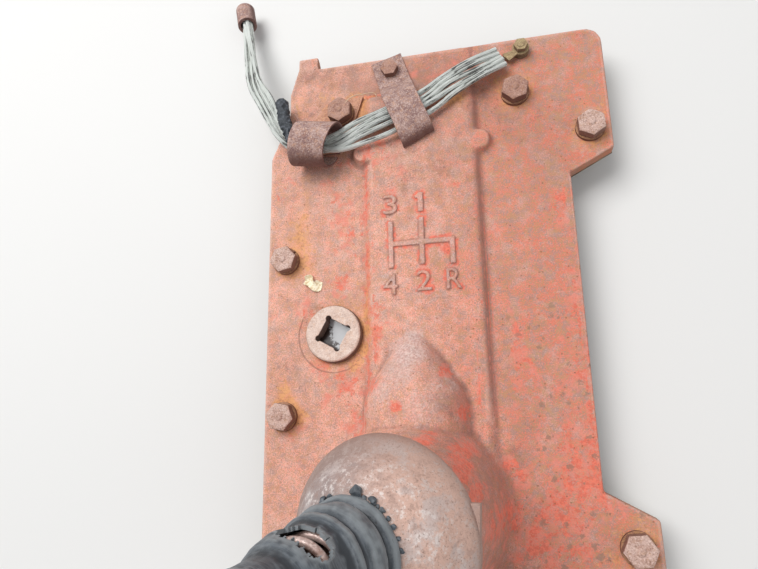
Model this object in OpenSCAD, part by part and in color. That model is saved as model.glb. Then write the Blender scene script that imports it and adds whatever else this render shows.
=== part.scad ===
// Top cover of a tractor gearbox with its gear lever, seen from the driver's seat.
// X is to the right, Y to the front of the tractor, Z up, in millimetres.
// The origin is on the gasket's underside: midway between the front bolts, and level with
// the middle between the two left bolts.

/* [Cover plate] */
// Distance from the origin to the plate's left edge
plate_left = 134.5; // [134:0.5:150]
// Distance from the origin to the plate's right edge, at its wide ends
plate_right = 140; // [138:0.5:155]
// Distance from the origin to the right edge where the steering tube passes it
waist_right = 107; // [95:0.5:115]
// Half the length of that cut-back stretch
waist_half_l = 114; // [90:1:120]
// Distance from the origin to the plate's front edge
plate_front = 235; // [230:1:260]
// Distance from the origin to the plate's rear edge
plate_rear = 212; // [206:1:240]
// Thickness of the bolted flange
flange_t = 12; // [10:0.5:18]
// Radius of the plate's plain corners
corner_r = 14; // [6:1:20]
// Width of the solid rim that is bolted down
rim_w = 28; // [24:1:34]
// Depth of the hollow inside the rim
pocket_d = 5; // [2:0.5:7]
// Wall of the cast tunnel, bulge and tower
cast_wall = 8; // [6:0.5:10]
// How far the front left corner is cut in
corner_cut = 16; // [8:1:20]
// Where the cut of the front left corner starts
corner_cut_y = 153; // [130:1:165]

/* [Gasket] */
// Thickness of the gasket
gasket_t = 1; // [0.5:0.1:3]

/* [Bolts] */
// Diameter of the bolts' thread
bolt_d = 12.7; // [10:0.1:14]
// Width across the flats of the bolt heads
head_af = 19.05; // [17:0.05:22]
// Height of the bolt heads
head_h = 8; // [6:0.5:11]
// Length of thread that stands out below the gasket
thread_out = 19; // [12:1:30]
// Distance from the origin to the left bolts
left_bolt_x = 118.5; // [116:0.5:120]
// Distance between the two left bolts
left_bolt_pitch = 122.6; // [110:0.2:130]
// Distance from the origin to the right bolts
right_bolt_x = 124; // [122:0.5:125]
// Distance between the two right bolts
right_bolt_pitch = 296; // [290:1:310]
// Distance from the centre line to the front and rear bolts
front_bolt_x = 71; // [62:1:80]
// Distance from the origin to the front bolts
front_bolt_y = 185.5; // [180:0.5:192]
// Distance from the origin back to the rear bolts
rear_bolt_y = 196; // [192:0.5:197]
// Thickness of the spring washers
washer_t = 3; // [2:0.5:4]
// Outer diameter of the spring washers
washer_d = 22; // [20.5:0.5:25]
// Clearance of the bolts in their holes
bolt_gap = 0.9; // [0.6:0.1:1.5]

/* [Rail band] */
// Width of the raised band over the shift rails
band_w = 88; // [76:1:96]
// Place of the band's middle, left of the centre line
band_left = 5.5; // [0:0.5:8]
// Height of the band above the plate
band_h = 8; // [6:0.5:12]
// Distance from the origin to the band's front end
band_front = 195; // [180:1:198]
// Radius of the two bosses at the band's front corners
band_boss_r = 9; // [6:0.5:12]
// Distance from the origin to the bosses
band_boss_y = 147; // [135:1:155]

/* [Lever tower] */
// Place of the tower's axis, left of the centre line
tower_left = 17.5; // [12:0.5:20]
// Distance from the origin back to the tower's axis
tower_back = 125; // [115:1:128]
// Radius of the tower's foot
tower_foot_r = 66; // [62:1:68]
// Radius of the fillet round the tower's foot
tower_fillet = 7; // [4:0.5:9]
// How much narrower the tower's neck is than its head
neck_in = 3.7; // [2.7:0.1:5.7]
// Height of the ball's centre above the plate
ball_h = 99; // [92:1:110]
// Radius of the tower's round head, on which the dome slides
head_seat_r = 46.7; // [45.5:0.1:48]
// Half-width of the bulge in front of the tower
bulge_r = 39; // [34:1:44]
// Place of the bulge's axis, left of the centre line
bulge_left = 15.4; // [14:0.1:21]
// Where the bulge's nose starts, back from the origin
bulge_nose = 4; // [0:1:10]
// Radius of the bulge's round nose
bulge_tip_r = 18; // [14:1:24]
// How steeply the bulge widens behind its nose, in degrees on each side
bulge_flare = 34; // [28:1:42]

/* [Gear lever] */
// Radius of the lever's ball
ball_r = 26; // [24:0.5:28]
// Radial clearance of the ball in its socket
ball_gap = 0.3; // [0.2:0.05:0.5]
// Radius of the mouth above the ball's socket
socket_mouth_r = 20; // [18:0.5:21]
// Radius of the tower's open top
tower_mouth_r = 29; // [27:0.5:31]
// Diameter of the lever's shaft
shaft_d = 19; // [16:0.5:20]
// Length from the ball's centre to the middle of the knob
lever_up = 400; // [340:5:440]
// Length from the ball's centre to the tip of the finger
lever_down = 137; // [125:1:145]
// Sideways lean of the lever to the left, in degrees
lean = 15.5; // [14:0.5:18]
// How far the lever is tipped to the rear, in degrees
tip_back = 3; // [0:0.5:4]
// Diameter of the shaft's thinner end in the knob
shaft_end_d = 14; // [12:0.5:15]
// Length of the shaft's taper below the knob
taper_l = 70; // [50:5:100]
// Diameter of the knob
knob_d = 46; // [38:1:52]
// Diameter of the fulcrum pin
pin_d = 10; // [8:0.5:11]
// Casting that is left outside each end of the fulcrum pin
pin_wall = 8.7; // [7.7:0.1:10.7]
// Radial clearance of the pin in the ball
pin_gap = 0.08; // [0.05:0.01:0.1]

/* [Dome, spring and boot] */
// Radius of the dome's flared lip
lip_r = 53.6; // [52.6:0.1:55.6]
// Thickness of the pressed dome
dome_t = 3; // [2:0.5:4]
// Clearance between the dome and the tower's head
dome_gap = 0.3; // [0.2:0.05:0.5]
// Angle from the dome's top to its rim, in degrees
dome_rim = 84; // [76:1:88]
// Diameter of the spring's wire
spring_wire = 4; // [3:0.25:4.5]
// Mean diameter of the spring
spring_d = 33; // [31:0.5:34]
// Number of turns of the spring
spring_turns = 4; // [3:1:5]
// Distance from the ball's centre to the collar above the spring
collar_at = 94; // [90:1:104]
// Diameter of the collar's hub, which the boot's sleeve grips
hub_d = 26; // [23:0.5:28]
// Length of the collar with its hub
hub_l = 24; // [18:1:28]
// Radius of the boot's lower ring
boot_r = 27.2; // [26.2:0.1:29.2]
// Clearance between the spring and the boot round it
boot_gap = 0.8; // [0.5:0.1:1.5]
// Thickness of the boot's rubber
boot_t = 2; // [1.5:0.25:2.5]
// Where the tear in the boot is, round the lever from the right, in degrees
tear_turn = 68; // [30:1:90]

/* [Filler plug] */
// Diameter of the filler plug
plug_d = 42.2; // [38:0.1:46]
// Height of the plug above the plate
plug_h = 6; // [4:0.5:9]
// Width of the plug's square socket
plug_square = 19.05; // [16:0.05:20]
// How far the square is turned, in degrees
plug_turn = 61; // [0:1:90]
// Place of the plug, left of the centre line
plug_left = 78; // [76:0.5:82]

/* [Loom clips] */
// Width of the clip straps
strap_w = 27; // [22:1:30]
// Width of the rolled left clip
roll_w = 29; // [24:1:32]
// Thickness of the clip straps
strap_t = 2.5; // [2:0.25:3]
// Inner radius of the rolled left clip
roll_r = 15.5; // [13:0.5:17]
// Length of the right clip behind its screw
bridge_l = 76; // [72:1:80]
// Height of the right clip's bridge above the plate
bridge_h = 21; // [19.5:0.5:24]
// Diameter of the bundle of wires
loom_d = 12; // [11:0.5:13]

/* [Hidden] */
eps = 0.01;
round_fn = 96;
small_fn = 48;

plate_top = gasket_t + flange_t;
ball_at = [-tower_left, -tower_back, plate_top + ball_h];
hole_d = bolt_d + 2 * bolt_gap;
pin_l = 2 * (head_seat_r - pin_wall);
roll_outer = roll_r + strap_t;
roll_lift = 0.4;
lug_in = 6.7;
roll_at = [-89.5, 153, plate_top + roll_outer + roll_lift];

// The bolts: x, y, what lies between the washer and the plate, and how far the head is turned
BOLT_X = 0;
BOLT_Y = 1;
BOLT_LIFT = 2;
BOLT_TURN = 3;
bolts = [
    [-left_bolt_x, left_bolt_pitch / 2, 0, 12],
    [-left_bolt_x, -left_bolt_pitch / 2, 0, 50],
    [right_bolt_x, right_bolt_pitch / 2, 0, 33],
    [right_bolt_x, -right_bolt_pitch / 2, 0, 5],
    [-front_bolt_x, -rear_bolt_y, 0, 22],
    [front_bolt_x, -rear_bolt_y, 0, 41],
    [-front_bolt_x, front_bolt_y, strap_t, 28],
    [front_bolt_x, front_bolt_y, 0, 17]
];

// Places at each bolt, raised to the given height
module at_bolts(z = 0) {
    for (b = bolts) translate([b[BOLT_X], b[BOLT_Y], z]) children();
}

// Outline of the plate: the front left corner is cut in, and so is the middle of the right edge
module plate_outline() {
    low = [-plate_left, -plate_rear];
    size = [plate_left + plate_right, plate_rear + plate_front];
    r = corner_r;
    cut = corner_cut;
    cut_l = plate_front - corner_cut_y;
    difference() {
        union() {
            translate(low + [0, r]) square(size - [0, 2 * r]);
            translate(low + [r, 0]) square(size - [2 * r, 0]);
            for (x = [r, size[0] - r]) for (y = [r, size[1] - r])
                translate(low + [x, y]) circle(r = r, $fn = small_fn);
        }
        translate([-plate_left, corner_cut_y]) polygon([
            [-1, 0], [0, 0], [cut * 0.9, 34], [cut, 40], [cut, cut_l - 22],
            [cut + lug_in, cut_l], [cut + lug_in, cut_l + 1], [-1, cut_l + 1]
        ]);
        polygon([
            [waist_right, -waist_half_l], [plate_right + 1, -waist_half_l - 18],
            [plate_right + 1, waist_half_l + 18], [waist_right, waist_half_l]
        ]);
    }
}

// Inside edge of the gearbox opening, where the rim ends
module pocket_outline() {
    front = front_bolt_y - rim_w / 2;
    rear = plate_rear - rim_w;
    left = plate_left - rim_w;
    right = waist_right - rim_w;
    translate([-left, -rear]) square([left + right, front + rear]);
}

// Height profile of the band: soft sloping sides
module band_section(inset = 0, low = 0) {
    half = band_w / 2 - inset;
    high = band_h - inset;
    soft = min(4, band_h / 2);
    polygon([
        [-half - soft + inset / 4, low],
        [half + soft - inset / 4, low],
        [half - soft / 4, high - soft / 2],
        [half - soft, high],
        [-half + soft, high],
        [-half + soft / 4, high - soft / 2]
    ]);
}

// Body of revolution of the bulge about the Y direction, shrunk by inset: a round nose, a flare
// that widens in a straight line, a round hip, and an even width up to the tower
module bulge(inset = 0) {
    r = bulge_r - inset;
    tip_r = bulge_tip_r - inset;
    blend = bulge_flare + 9;
    side = [tip_r * cos(blend), bulge_tip_r - tip_r * sin(blend)];
    hip = side[1] + (r - side[0]) / tan(bulge_flare);
    soft = 8;
    end = tower_back - bulge_nose - 10;
    translate([-bulge_left, -bulge_nose, plate_top])
        rotate([90, 0, 0])
            rotate_extrude($fn = round_fn) {
                intersection() {
                    translate([0, bulge_tip_r]) circle(r = tip_r, $fn = round_fn);
                    square([tip_r + 1, bulge_tip_r]);
                }
                polygon([
                    [0, bulge_tip_r - 1], [side[0] - 1, bulge_tip_r - 1], side,
                    [r - soft * sin(bulge_flare), hip - soft * cos(bulge_flare)],
                    [r - soft * sin(bulge_flare) / 5, hip + soft / 4],
                    [r, hip + soft], [r, end], [0, end]
                ]);
            }
}

// Outer profile of the tower, from the plate's top up
module tower_profile() {
    neck_r = head_seat_r - neck_in;
    neck_z = ball_h - sqrt(head_seat_r * head_seat_r - neck_r * neck_r);
    top_z = ball_h + sqrt(head_seat_r * head_seat_r - tower_mouth_r * tower_mouth_r);
    f = tower_fillet;
    polygon([
        [0, -flange_t / 2], [tower_foot_r, -flange_t / 2], [tower_foot_r, 0], [neck_r, neck_z], [0, neck_z]
    ]);
    intersection() {
        translate([0, ball_h]) circle(r = head_seat_r, $fn = 2 * round_fn);
        translate([0, neck_z - 1]) square([head_seat_r + 1, top_z - neck_z + 1]);
    }
    difference() {
        polygon([
            [tower_foot_r - 4, -1], [tower_foot_r + f, -1], [tower_foot_r + f, 0],
            [tower_foot_r - f * 0.3, f], [tower_foot_r - 4 - f * 0.3, f]
        ]);
        translate([tower_foot_r + f, f + 0.2]) circle(r = f * 1.03, $fn = small_fn);
    }
}

// What is cored out of the tower: the hollow below, the ball's socket and the mouth
module tower_hollow_profile() {
    bowl_r = ball_r + cast_wall;
    socket_r = ball_r + ball_gap;
    mouth_z = ball_h + sqrt(socket_r * socket_r - socket_mouth_r * socket_mouth_r);
    top_z = ball_h + sqrt(head_seat_r * head_seat_r - tower_mouth_r * tower_mouth_r);
    polygon([
        [0, -flange_t - 1],
        [tower_foot_r - cast_wall - 2, -flange_t - 1],
        [tower_foot_r - cast_wall - 2, 0],
        [bowl_r, ball_h - 20],
        [bowl_r, ball_h - 4],
        [socket_r - 0.5, ball_h + 4],
        [0, ball_h + 4]
    ]);
    intersection() {
        translate([0, ball_h]) circle(r = socket_r, $fn = round_fn);
        translate([0, ball_h]) square([socket_r + 1, mouth_z - ball_h + 1]);
    }
    polygon([
        [0, mouth_z - 1],
        [socket_mouth_r, mouth_z - 1],
        [socket_mouth_r, mouth_z + 1],
        [tower_mouth_r, top_z + 0.5],
        [0, top_z + 0.5]
    ]);
}

module cover_casting() {
    slot_w = pin_d + 1.2;
    slot_h = 2 * (pin_l / 2 * sin(lean) + pin_d / 2 + 2);
    plug_boss_r = plug_d / 2 + 9;
    color("indianred") difference() {
        union() {
            translate([0, 0, gasket_t]) linear_extrude(flange_t) plate_outline();
            translate([-band_left, band_front, plate_top - eps])
                rotate([90, 0, 0])
                    linear_extrude(band_front + tower_back) band_section();
            for (side = [-1, 1])
                translate([-band_left + side * (band_w / 2 + 2.5), band_boss_y, plate_top - 1])
                    cylinder(h = band_h + 1, r1 = band_boss_r + 1, r2 = band_boss_r - 1, $fn = small_fn);
            intersection() {
                bulge();
                translate([-plate_left, -tower_back, plate_top - 1])
                    cube([2 * plate_left, 2 * tower_back, 3 * bulge_r]);
            }
            translate([-tower_left, -tower_back, plate_top]) rotate_extrude($fn = round_fn) tower_profile();
            front_lug();
        }
        // Hollow under the plate, the band and the bulge
        difference() {
            translate([0, 0, -1]) linear_extrude(gasket_t + pocket_d + 1) pocket_outline();
            translate([-plug_left, 0, -2]) cylinder(h = flange_t, r = plug_boss_r, $fn = small_fn);
        }
        translate([-band_left, front_bolt_y - 22, gasket_t - 1])
            rotate([90, 0, 0])
                linear_extrude(front_bolt_y - 22 + tower_back)
                    translate([0, flange_t + 1]) band_section(cast_wall, -flange_t - 1);
        intersection() {
            bulge(cast_wall);
            translate([-plate_left, -tower_back, gasket_t - 1])
                cube([2 * plate_left, 2 * tower_back, 3 * bulge_r]);
        }
        translate([-tower_left, -tower_back, plate_top])
            rotate_extrude($fn = round_fn) tower_hollow_profile();
        // Blind slots for the fulcrum pin, inside the tower's head
        translate(ball_at) cube([pin_l + 3, slot_w, slot_h], center = true);
        at_bolts() cylinder(h = plate_top + 1, d = hole_d, $fn = small_fn);
        translate([-plug_left, 0, -1]) cylinder(h = plate_top + 2, d = plug_d + 0.3, $fn = round_fn);
        translate([-plug_left - 1.5, -1.5, plate_top - 0.8]) cylinder(h = 2, d = plug_d + 14, $fn = round_fn);
    }
}

// Lug that stands out of the front edge at its left end: level on top, round below, flat at the sides
module front_lug() {
    lug_r = flange_t - 0.5;
    lug_w = 17.8;
    intersection() {
        translate([-plate_left + corner_cut + lug_in + 0.4, plate_front, plate_top])
            rotate([0, 90, 0]) cylinder(h = lug_w, r = lug_r, $fn = small_fn);
        translate([-plate_left, plate_front - 2, plate_top - flange_t])
            cube([plate_left, lug_r + 4, flange_t]);
    }
}

module gasket() {
    color("tan") difference() {
        linear_extrude(gasket_t) plate_outline();
        translate([0, 0, -1]) linear_extrude(gasket_t + 2) pocket_outline();
        at_bolts(-1) cylinder(h = gasket_t + 2, d = hole_d, $fn = small_fn);
    }
}

// One bolt with its thread's end at the bottom; lift is the height of its seat above the plate
module bolt(lift, turn) {
    seat = plate_top + lift + washer_t;
    shank_d = bolt_d - 0.6;
    nub_r = 4;
    chamfer_h = 2.6;
    intersection() {
        translate([0, 0, seat]) rotate(turn) cylinder(h = head_h, d = head_af / cos(30), $fn = 6);
        translate([0, 0, seat])
            cylinder(h = head_h, r1 = head_af / 2 + chamfer_h + head_h / 2, r2 = head_af / 2, $fn = small_fn);
    }
    translate([0, 0, seat + head_h - eps]) cylinder(h = 1.3, r1 = nub_r, r2 = nub_r - 1, $fn = small_fn);
    translate([0, 0, -eps]) cylinder(h = seat + 2 * eps, d = shank_d, $fn = small_fn);
    translate([0, 0, -thread_out + 1]) cylinder(h = thread_out - 1, d = bolt_d, $fn = small_fn);
    translate([0, 0, -thread_out]) cylinder(h = 1 + eps, d1 = bolt_d - 2, d2 = bolt_d - 0.1, $fn = small_fn);
}

module cover_bolts() {
    color("rosybrown")
        for (b = bolts) translate([b[BOLT_X], b[BOLT_Y], 0]) bolt(b[BOLT_LIFT], b[BOLT_TURN]);
}

module lock_washers() {
    color("saddlebrown")
        for (b = bolts)
            translate([b[BOLT_X], b[BOLT_Y], plate_top + b[BOLT_LIFT]])
                difference() {
                    cylinder(h = washer_t, d = washer_d, $fn = small_fn);
                    translate([0, 0, -1]) cylinder(h = washer_t + 2, d = bolt_d + 0.6, $fn = small_fn);
                    rotate(b[BOLT_TURN] * 3) translate([0, -0.6, -1]) cube([washer_d, 1.2, washer_t + 2]);
                }
}

module filler_plug() {
    low = gasket_t + 2;
    socket_floor = 3;
    color("rosybrown") translate([-plug_left, 0, 0]) difference() {
        union() {
            translate([0, 0, low]) cylinder(h = plate_top + plug_h - 1.5 - low, d = plug_d, $fn = round_fn);
            translate([0, 0, plate_top + plug_h - 1.5 - eps])
                cylinder(h = 1.5 + eps, d1 = plug_d, d2 = plug_d - 3, $fn = round_fn);
        }
        translate([0, 0, plate_top + plug_h]) rotate(plug_turn)
            cube([plug_square, plug_square, 2 * (plate_top + plug_h - low - socket_floor)], center = true);
    }
}

// A bent strap of even thickness along points in a side view: [distance, height]
function unit(v) = v / norm(v);
function left_of(v) = [-v[1], v[0]];
function mitre(p, i) =
    let (
        n = len(p),
        a = i > 0 ? unit(p[i] - p[i - 1]) : unit(p[1] - p[0]),
        b = i < n - 1 ? unit(p[i + 1] - p[i]) : unit(p[n - 1] - p[n - 2]),
        m = unit(left_of(a) + left_of(b))
    ) m / (m * left_of(a));
module ribbon(points, t, w) {
    inner = points;
    outer = [for (i = [0 : len(points) - 1]) points[i] + t * mitre(points, i)];
    flipped = [for (i = [len(outer) - 1 : -1 : 0]) outer[i]];
    rotate([90, 0, 90]) linear_extrude(w) polygon(concat(inner, flipped));
}

module loom_clip_left() {
    tab_front = front_bolt_y + 14.5;
    color("rosybrown") {
        translate([roll_at[0] - roll_w / 2, roll_at[1], roll_at[2]])
            rotate([0, 90, 0])
                difference() {
                    cylinder(h = roll_w, r = roll_outer, $fn = round_fn);
                    translate([0, 0, -1]) cylinder(h = roll_w + 2, r = roll_r, $fn = round_fn);
                }
        translate([0, 0, plate_top]) difference() {
            linear_extrude(strap_t) polygon([
                [roll_at[0] - roll_w / 2, roll_at[1] - 2],
                [roll_at[0] + roll_w / 2, roll_at[1] - 2],
                [-front_bolt_x + 10.5, front_bolt_y - 9],
                [-front_bolt_x + 18.5, tab_front],
                [-front_bolt_x - 8, tab_front - 1],
                [-front_bolt_x - 16, tab_front - 7],
                [roll_at[0] - roll_w / 2, roll_at[1] + 22]
            ]);
            translate([-front_bolt_x, front_bolt_y, -1])
                cylinder(h = strap_t + 2, d = hole_d, $fn = small_fn);
        }
    }
}

// The right clip is a bridge over the wires, screwed down at its front end
clip_screw_at = [-29, 221];
clip_turn = 16.5;
module loom_clip_right() {
    rise = bridge_h;
    reach = bridge_l;
    side_view = [
        [-reach * 0.16, 0], [reach * 0.18, 0], [reach * 0.32, rise * 0.55], [reach * 0.45, rise - 2],
        [reach * 0.58, rise], [reach * 0.82, rise], [reach * 0.92, rise - 3], [reach * 0.985, band_h + 5],
        [reach, band_h + 0.3]
    ];
    color("rosybrown") translate([clip_screw_at[0], clip_screw_at[1], plate_top])
        rotate(clip_turn) difference() {
            rotate(180) translate([-strap_w / 2, 0, 0]) ribbon(side_view, strap_t, strap_w);
            translate([0, 0, -1]) cylinder(h = 10, d = 9, $fn = small_fn);
        }
}

module clip_screw() {
    color("rosybrown") translate([clip_screw_at[0], clip_screw_at[1], plate_top + strap_t]) {
        cylinder(h = 5.5, d = 12.7 / cos(30), $fn = 6);
        translate([0, 0, -strap_t]) cylinder(h = strap_t + 1, d = 7.9, $fn = small_fn);
    }
}

// Loom: the middle of the bundle, points chosen by hand
loom_route = [
    [62, 214, 22], [42, 204, 26], [21, 193, 28], [1, 181, 27.6], [-15, 175, 27.4], [-31, 170, 27.4],
    [-52, 162, 27.5], [-72, 153, 28], [-90, 152, 28], [-107, 155, 28], [-117, 166, 27], [-128, 186, 24],
    [-138, 205, 20], [-150, 228, 15], [-158, 256, 9], [-165, 286, 2], [-175, 326, -7]
];
function tangent(p, i) = unit(p[min(i + 1, len(p) - 1)] - p[max(i - 1, 0)]);
function ring_points(p, t, up, r, n) =
    let (side = unit(cross(t, up)), top = cross(side, t))
    [for (k = [0 : n - 1]) p + r * (cos(k * 360 / n) * side + sin(k * 360 / n) * top)];
// A round tube swept along a route; up is any direction that the route never follows
module swept_tube(route, r, n, up) {
    count = len(route);
    rings = [for (i = [0 : count - 1]) ring_points(route[i], tangent(route, i), up, r, n)];
    points = [for (one = rings) for (p = one) p];
    sides = [
        for (i = [0 : count - 2]) for (k = [0 : n - 1])
            [i * n + k, i * n + (k + 1) % n, (i + 1) * n + (k + 1) % n, (i + 1) * n + k]
    ];
    start = [[for (k = [n - 1 : -1 : 0]) k]];
    end = [[for (k = [0 : n - 1]) (count - 1) * n + k]];
    polyhedron(points = points, faces = concat(sides, start, end));
}

module loom() {
    color("lightgray") swept_tube(loom_route, loom_d / 2, 10, [0, 0, 1]);
}

// Ring terminals where the loom's right end is screwed to the cover
terminal_at = [78, 222];
module loom_terminals() {
    color("darkgoldenrod") translate([terminal_at[0], terminal_at[1], plate_top]) {
        cylinder(h = 11, d = 5.6, $fn = small_fn);
        for (i = [0 : 2]) translate([0, 0, i * 2.2]) rotate(205 + 12 * (i - 1)) {
            cylinder(h = 1.6, d = 13, $fn = small_fn);
            translate([0, -2.5, 0]) cube([14, 5, 1.6]);
        }
        translate([0, 0, 6.6]) cylinder(h = 4, d = 9.5 / cos(30), $fn = 6);
    }
}

// Strap round the loom's left end
module loom_end_clip() {
    last = loom_route[len(loom_route) - 1];
    before = loom_route[len(loom_route) - 2];
    way = unit(last - before);
    color("rosybrown") translate(last - 24 * way)
        rotate([0, acos(way[2]), atan2(way[1], way[0])])
            difference() {
                cylinder(h = 22, r = loom_d / 2 + 0.3 + strap_t, $fn = small_fn);
                translate([0, 0, -1]) cylinder(h = 24, r = loom_d / 2 + 0.3, $fn = small_fn);
            }
}

// Places along the lever: Z follows the leaning shaft, up from the ball's centre
module on_lever() {
    translate(ball_at) rotate([0, -lean, 0]) rotate([tip_back, 0, 0]) children();
}

module pivot_pin() {
    color("dimgray") on_lever() rotate([0, 90, 0])
        cylinder(h = pin_l, d = pin_d, center = true, $fn = small_fn);
}

module gear_lever() {
    arm_top_r = 13;
    arm_low_r = 9;
    tip_r = 11;
    knob_seat = 10;
    taper_at = lever_up - knob_seat - taper_l;
    color("dimgray") on_lever() difference() {
        union() {
            sphere(r = ball_r, $fn = round_fn);
            cylinder(h = taper_at, d = shaft_d, $fn = small_fn);
            translate([0, 0, taper_at - eps])
                cylinder(h = taper_l, d1 = shaft_d, d2 = shaft_end_d, $fn = small_fn);
            translate([0, 0, -lever_down + tip_r])
                cylinder(h = lever_down - tip_r, r1 = arm_low_r, r2 = arm_top_r, $fn = small_fn);
            translate([0, 0, -lever_down + tip_r]) sphere(r = tip_r, $fn = small_fn);
        }
        rotate([0, 90, 0]) cylinder(h = 3 * ball_r, d = pin_d + 2 * pin_gap, center = true, $fn = small_fn);
    }
}

module lever_knob() {
    color("black") on_lever() translate([0, 0, lever_up]) difference() {
        sphere(d = knob_d, $fn = round_fn);
        translate([0, 0, -knob_d]) cylinder(h = knob_d + 10.1, d = shaft_end_d + 0.8, $fn = small_fn);
        translate([0, 0, -knob_d - 10]) cylinder(h = knob_d / 2 + 13, d = knob_d, $fn = small_fn);
    }
}

// Pressed dome with a flared lip, and a square tab that sticks out of the lip at the right
module dust_dome() {
    inner = head_seat_r + dome_gap;
    outer = inner + dome_t;
    rim_z = outer * cos(dome_rim);
    tab_t = 3;
    color("gray") on_lever() difference() {
        union() {
            intersection() {
                sphere(r = outer, $fn = round_fn);
                translate([0, 0, rim_z]) cylinder(h = outer, r = outer + 1, $fn = round_fn);
            }
            rotate_extrude($fn = round_fn) polygon([
                [outer - 6, rim_z], [lip_r - 0.7, rim_z], [lip_r, rim_z + 1.8], [lip_r - 0.8, rim_z + 6],
                [outer - 0.3, rim_z + 11.4], [outer - 4.2, rim_z + 15.3], [outer - 6, rim_z + 15]
            ]);
            translate([0, 0, rim_z]) linear_extrude(tab_t) polygon([
                [outer - 6, 20], [lip_r + 1.2, 20], [lip_r - 1.2, -6], [outer - 6, -14]
            ]);
        }
        sphere(r = inner, $fn = round_fn);
        cylinder(h = outer + 5, d = shaft_d + 0.6, $fn = small_fn);
    }
}

dome_outer = head_seat_r + dome_gap + dome_t;
module lever_spring() {
    low = dome_outer + spring_wire / 2 + 0.2;
    high = collar_at - spring_wire / 2 - 0.2;
    steps = 16;
    turn_points = [
        for (i = [0 : spring_turns * steps])
            let (a = i * 360 / steps)
            [spring_d / 2 * cos(a), spring_d / 2 * sin(a), low + (high - low) * i / (spring_turns * steps)]
    ];
    color("saddlebrown") on_lever() swept_tube(turn_points, spring_wire / 2, 8, [0, 0, 1]);
}

module spring_collar() {
    color("dimgray") on_lever() translate([0, 0, collar_at]) difference() {
        union() {
            cylinder(h = 3, d = spring_d + spring_wire, $fn = small_fn);
            cylinder(h = hub_l, d = hub_d, $fn = small_fn);
        }
        translate([0, 0, -1]) cylinder(h = hub_l + 2, d = shaft_d + 0.4, $fn = small_fn);
    }
}

// Rubber boot: a ring on the dome, two full ribs, a neck round the spring's upper turns, and a
// sleeve that grips the collar's hub. A tear in the neck shows the spring
module lever_boot() {
    low = sqrt(dome_outer * dome_outer - boot_r * boot_r) - 1;
    neck_at = 73;
    spring_r = (spring_d + spring_wire) / 2 + boot_gap;
    neck_r = spring_r + boot_t;
    sleeve_r = hub_d / 2 + 0.3;
    high = collar_at + hub_l + 3;
    step_at = collar_at + 3 + boot_gap;
    // The ribs: height, how far they reach out, and their roundness
    ribs = [
        [low + 14.5, boot_r - 1.6, 4.5],
        [low + 25, boot_r - 3.4, 3.2],
        [collar_at - 6, neck_r + 0.7, 2.5]
    ];
    color("darkslategray") on_lever() difference() {
        rotate_extrude($fn = round_fn) difference() {
            union() {
                polygon([
                    [spring_r, low], [boot_r, low], [boot_r, low + 7], [boot_r - 2.6, low + 8.5],
                    [boot_r - 3.5, neck_at - 3], [neck_r, neck_at], [neck_r, step_at + 1],
                    [sleeve_r + boot_t + 1, step_at + 5], [sleeve_r + boot_t, step_at + 8],
                    [sleeve_r + boot_t - 0.5, high], [0, high], [0, low]
                ]);
                for (rib = ribs) translate([rib[1] - rib[2], rib[0]]) circle(r = rib[2], $fn = 32);
            }
            polygon([
                [-1, low - 1], [spring_r, low - 1], [spring_r, step_at], [sleeve_r, step_at + 2.5],
                [sleeve_r, high + 1], [-1, high + 1]
            ]);
        }
        sphere(r = dome_outer + 0.3, $fn = round_fn);
        for (i = [-1 : 1]) rotate(tear_turn - 21 * i) translate([sleeve_r, 0, collar_at - 11 - 3 * i])
            rotate([0, 90, 0]) cylinder(h = boot_r, r = 6.5, $fn = small_fn);
    }
}

cover_casting();
gasket();
cover_bolts();
lock_washers();
filler_plug();
loom_clip_left();
loom_clip_right();
clip_screw();
loom();
loom_terminals();
loom_end_clip();
pivot_pin();
gear_lever();
lever_knob();
dust_dome();
lever_spring();
spring_collar();
lever_boot();
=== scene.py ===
# Top cover of a tractor gearbox with its gear lever, dressed as it was found: faded red paint on
# rusty cast iron, a worn steel dome, a torn rubber boot and an old cloth-covered loom.
# Lengths are in metres. X is to the right, Y to the front of the tractor, Z up.
from math import atan2, cos, degrees, exp, pi, radians, sin, sqrt

import bpy
import numpy as np
from mathutils import Matrix, Vector, kdtree, noise


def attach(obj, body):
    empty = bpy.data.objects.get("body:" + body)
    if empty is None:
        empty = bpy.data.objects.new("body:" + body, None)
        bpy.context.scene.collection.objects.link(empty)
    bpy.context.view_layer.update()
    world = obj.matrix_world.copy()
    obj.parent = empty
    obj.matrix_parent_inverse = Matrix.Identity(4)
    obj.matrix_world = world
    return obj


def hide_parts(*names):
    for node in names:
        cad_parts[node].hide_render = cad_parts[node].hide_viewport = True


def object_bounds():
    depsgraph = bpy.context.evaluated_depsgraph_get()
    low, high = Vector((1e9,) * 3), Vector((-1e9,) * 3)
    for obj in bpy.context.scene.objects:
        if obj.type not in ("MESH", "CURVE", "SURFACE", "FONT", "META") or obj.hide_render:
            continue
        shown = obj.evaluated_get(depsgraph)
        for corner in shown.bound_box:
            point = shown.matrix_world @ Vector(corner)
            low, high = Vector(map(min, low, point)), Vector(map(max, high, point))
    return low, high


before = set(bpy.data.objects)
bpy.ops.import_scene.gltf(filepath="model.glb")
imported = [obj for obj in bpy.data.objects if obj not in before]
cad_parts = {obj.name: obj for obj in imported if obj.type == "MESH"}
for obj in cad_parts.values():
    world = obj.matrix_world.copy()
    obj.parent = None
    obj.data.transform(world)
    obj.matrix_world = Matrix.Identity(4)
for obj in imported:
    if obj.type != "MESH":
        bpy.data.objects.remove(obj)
cad_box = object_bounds()
scene = bpy.context.scene

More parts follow.
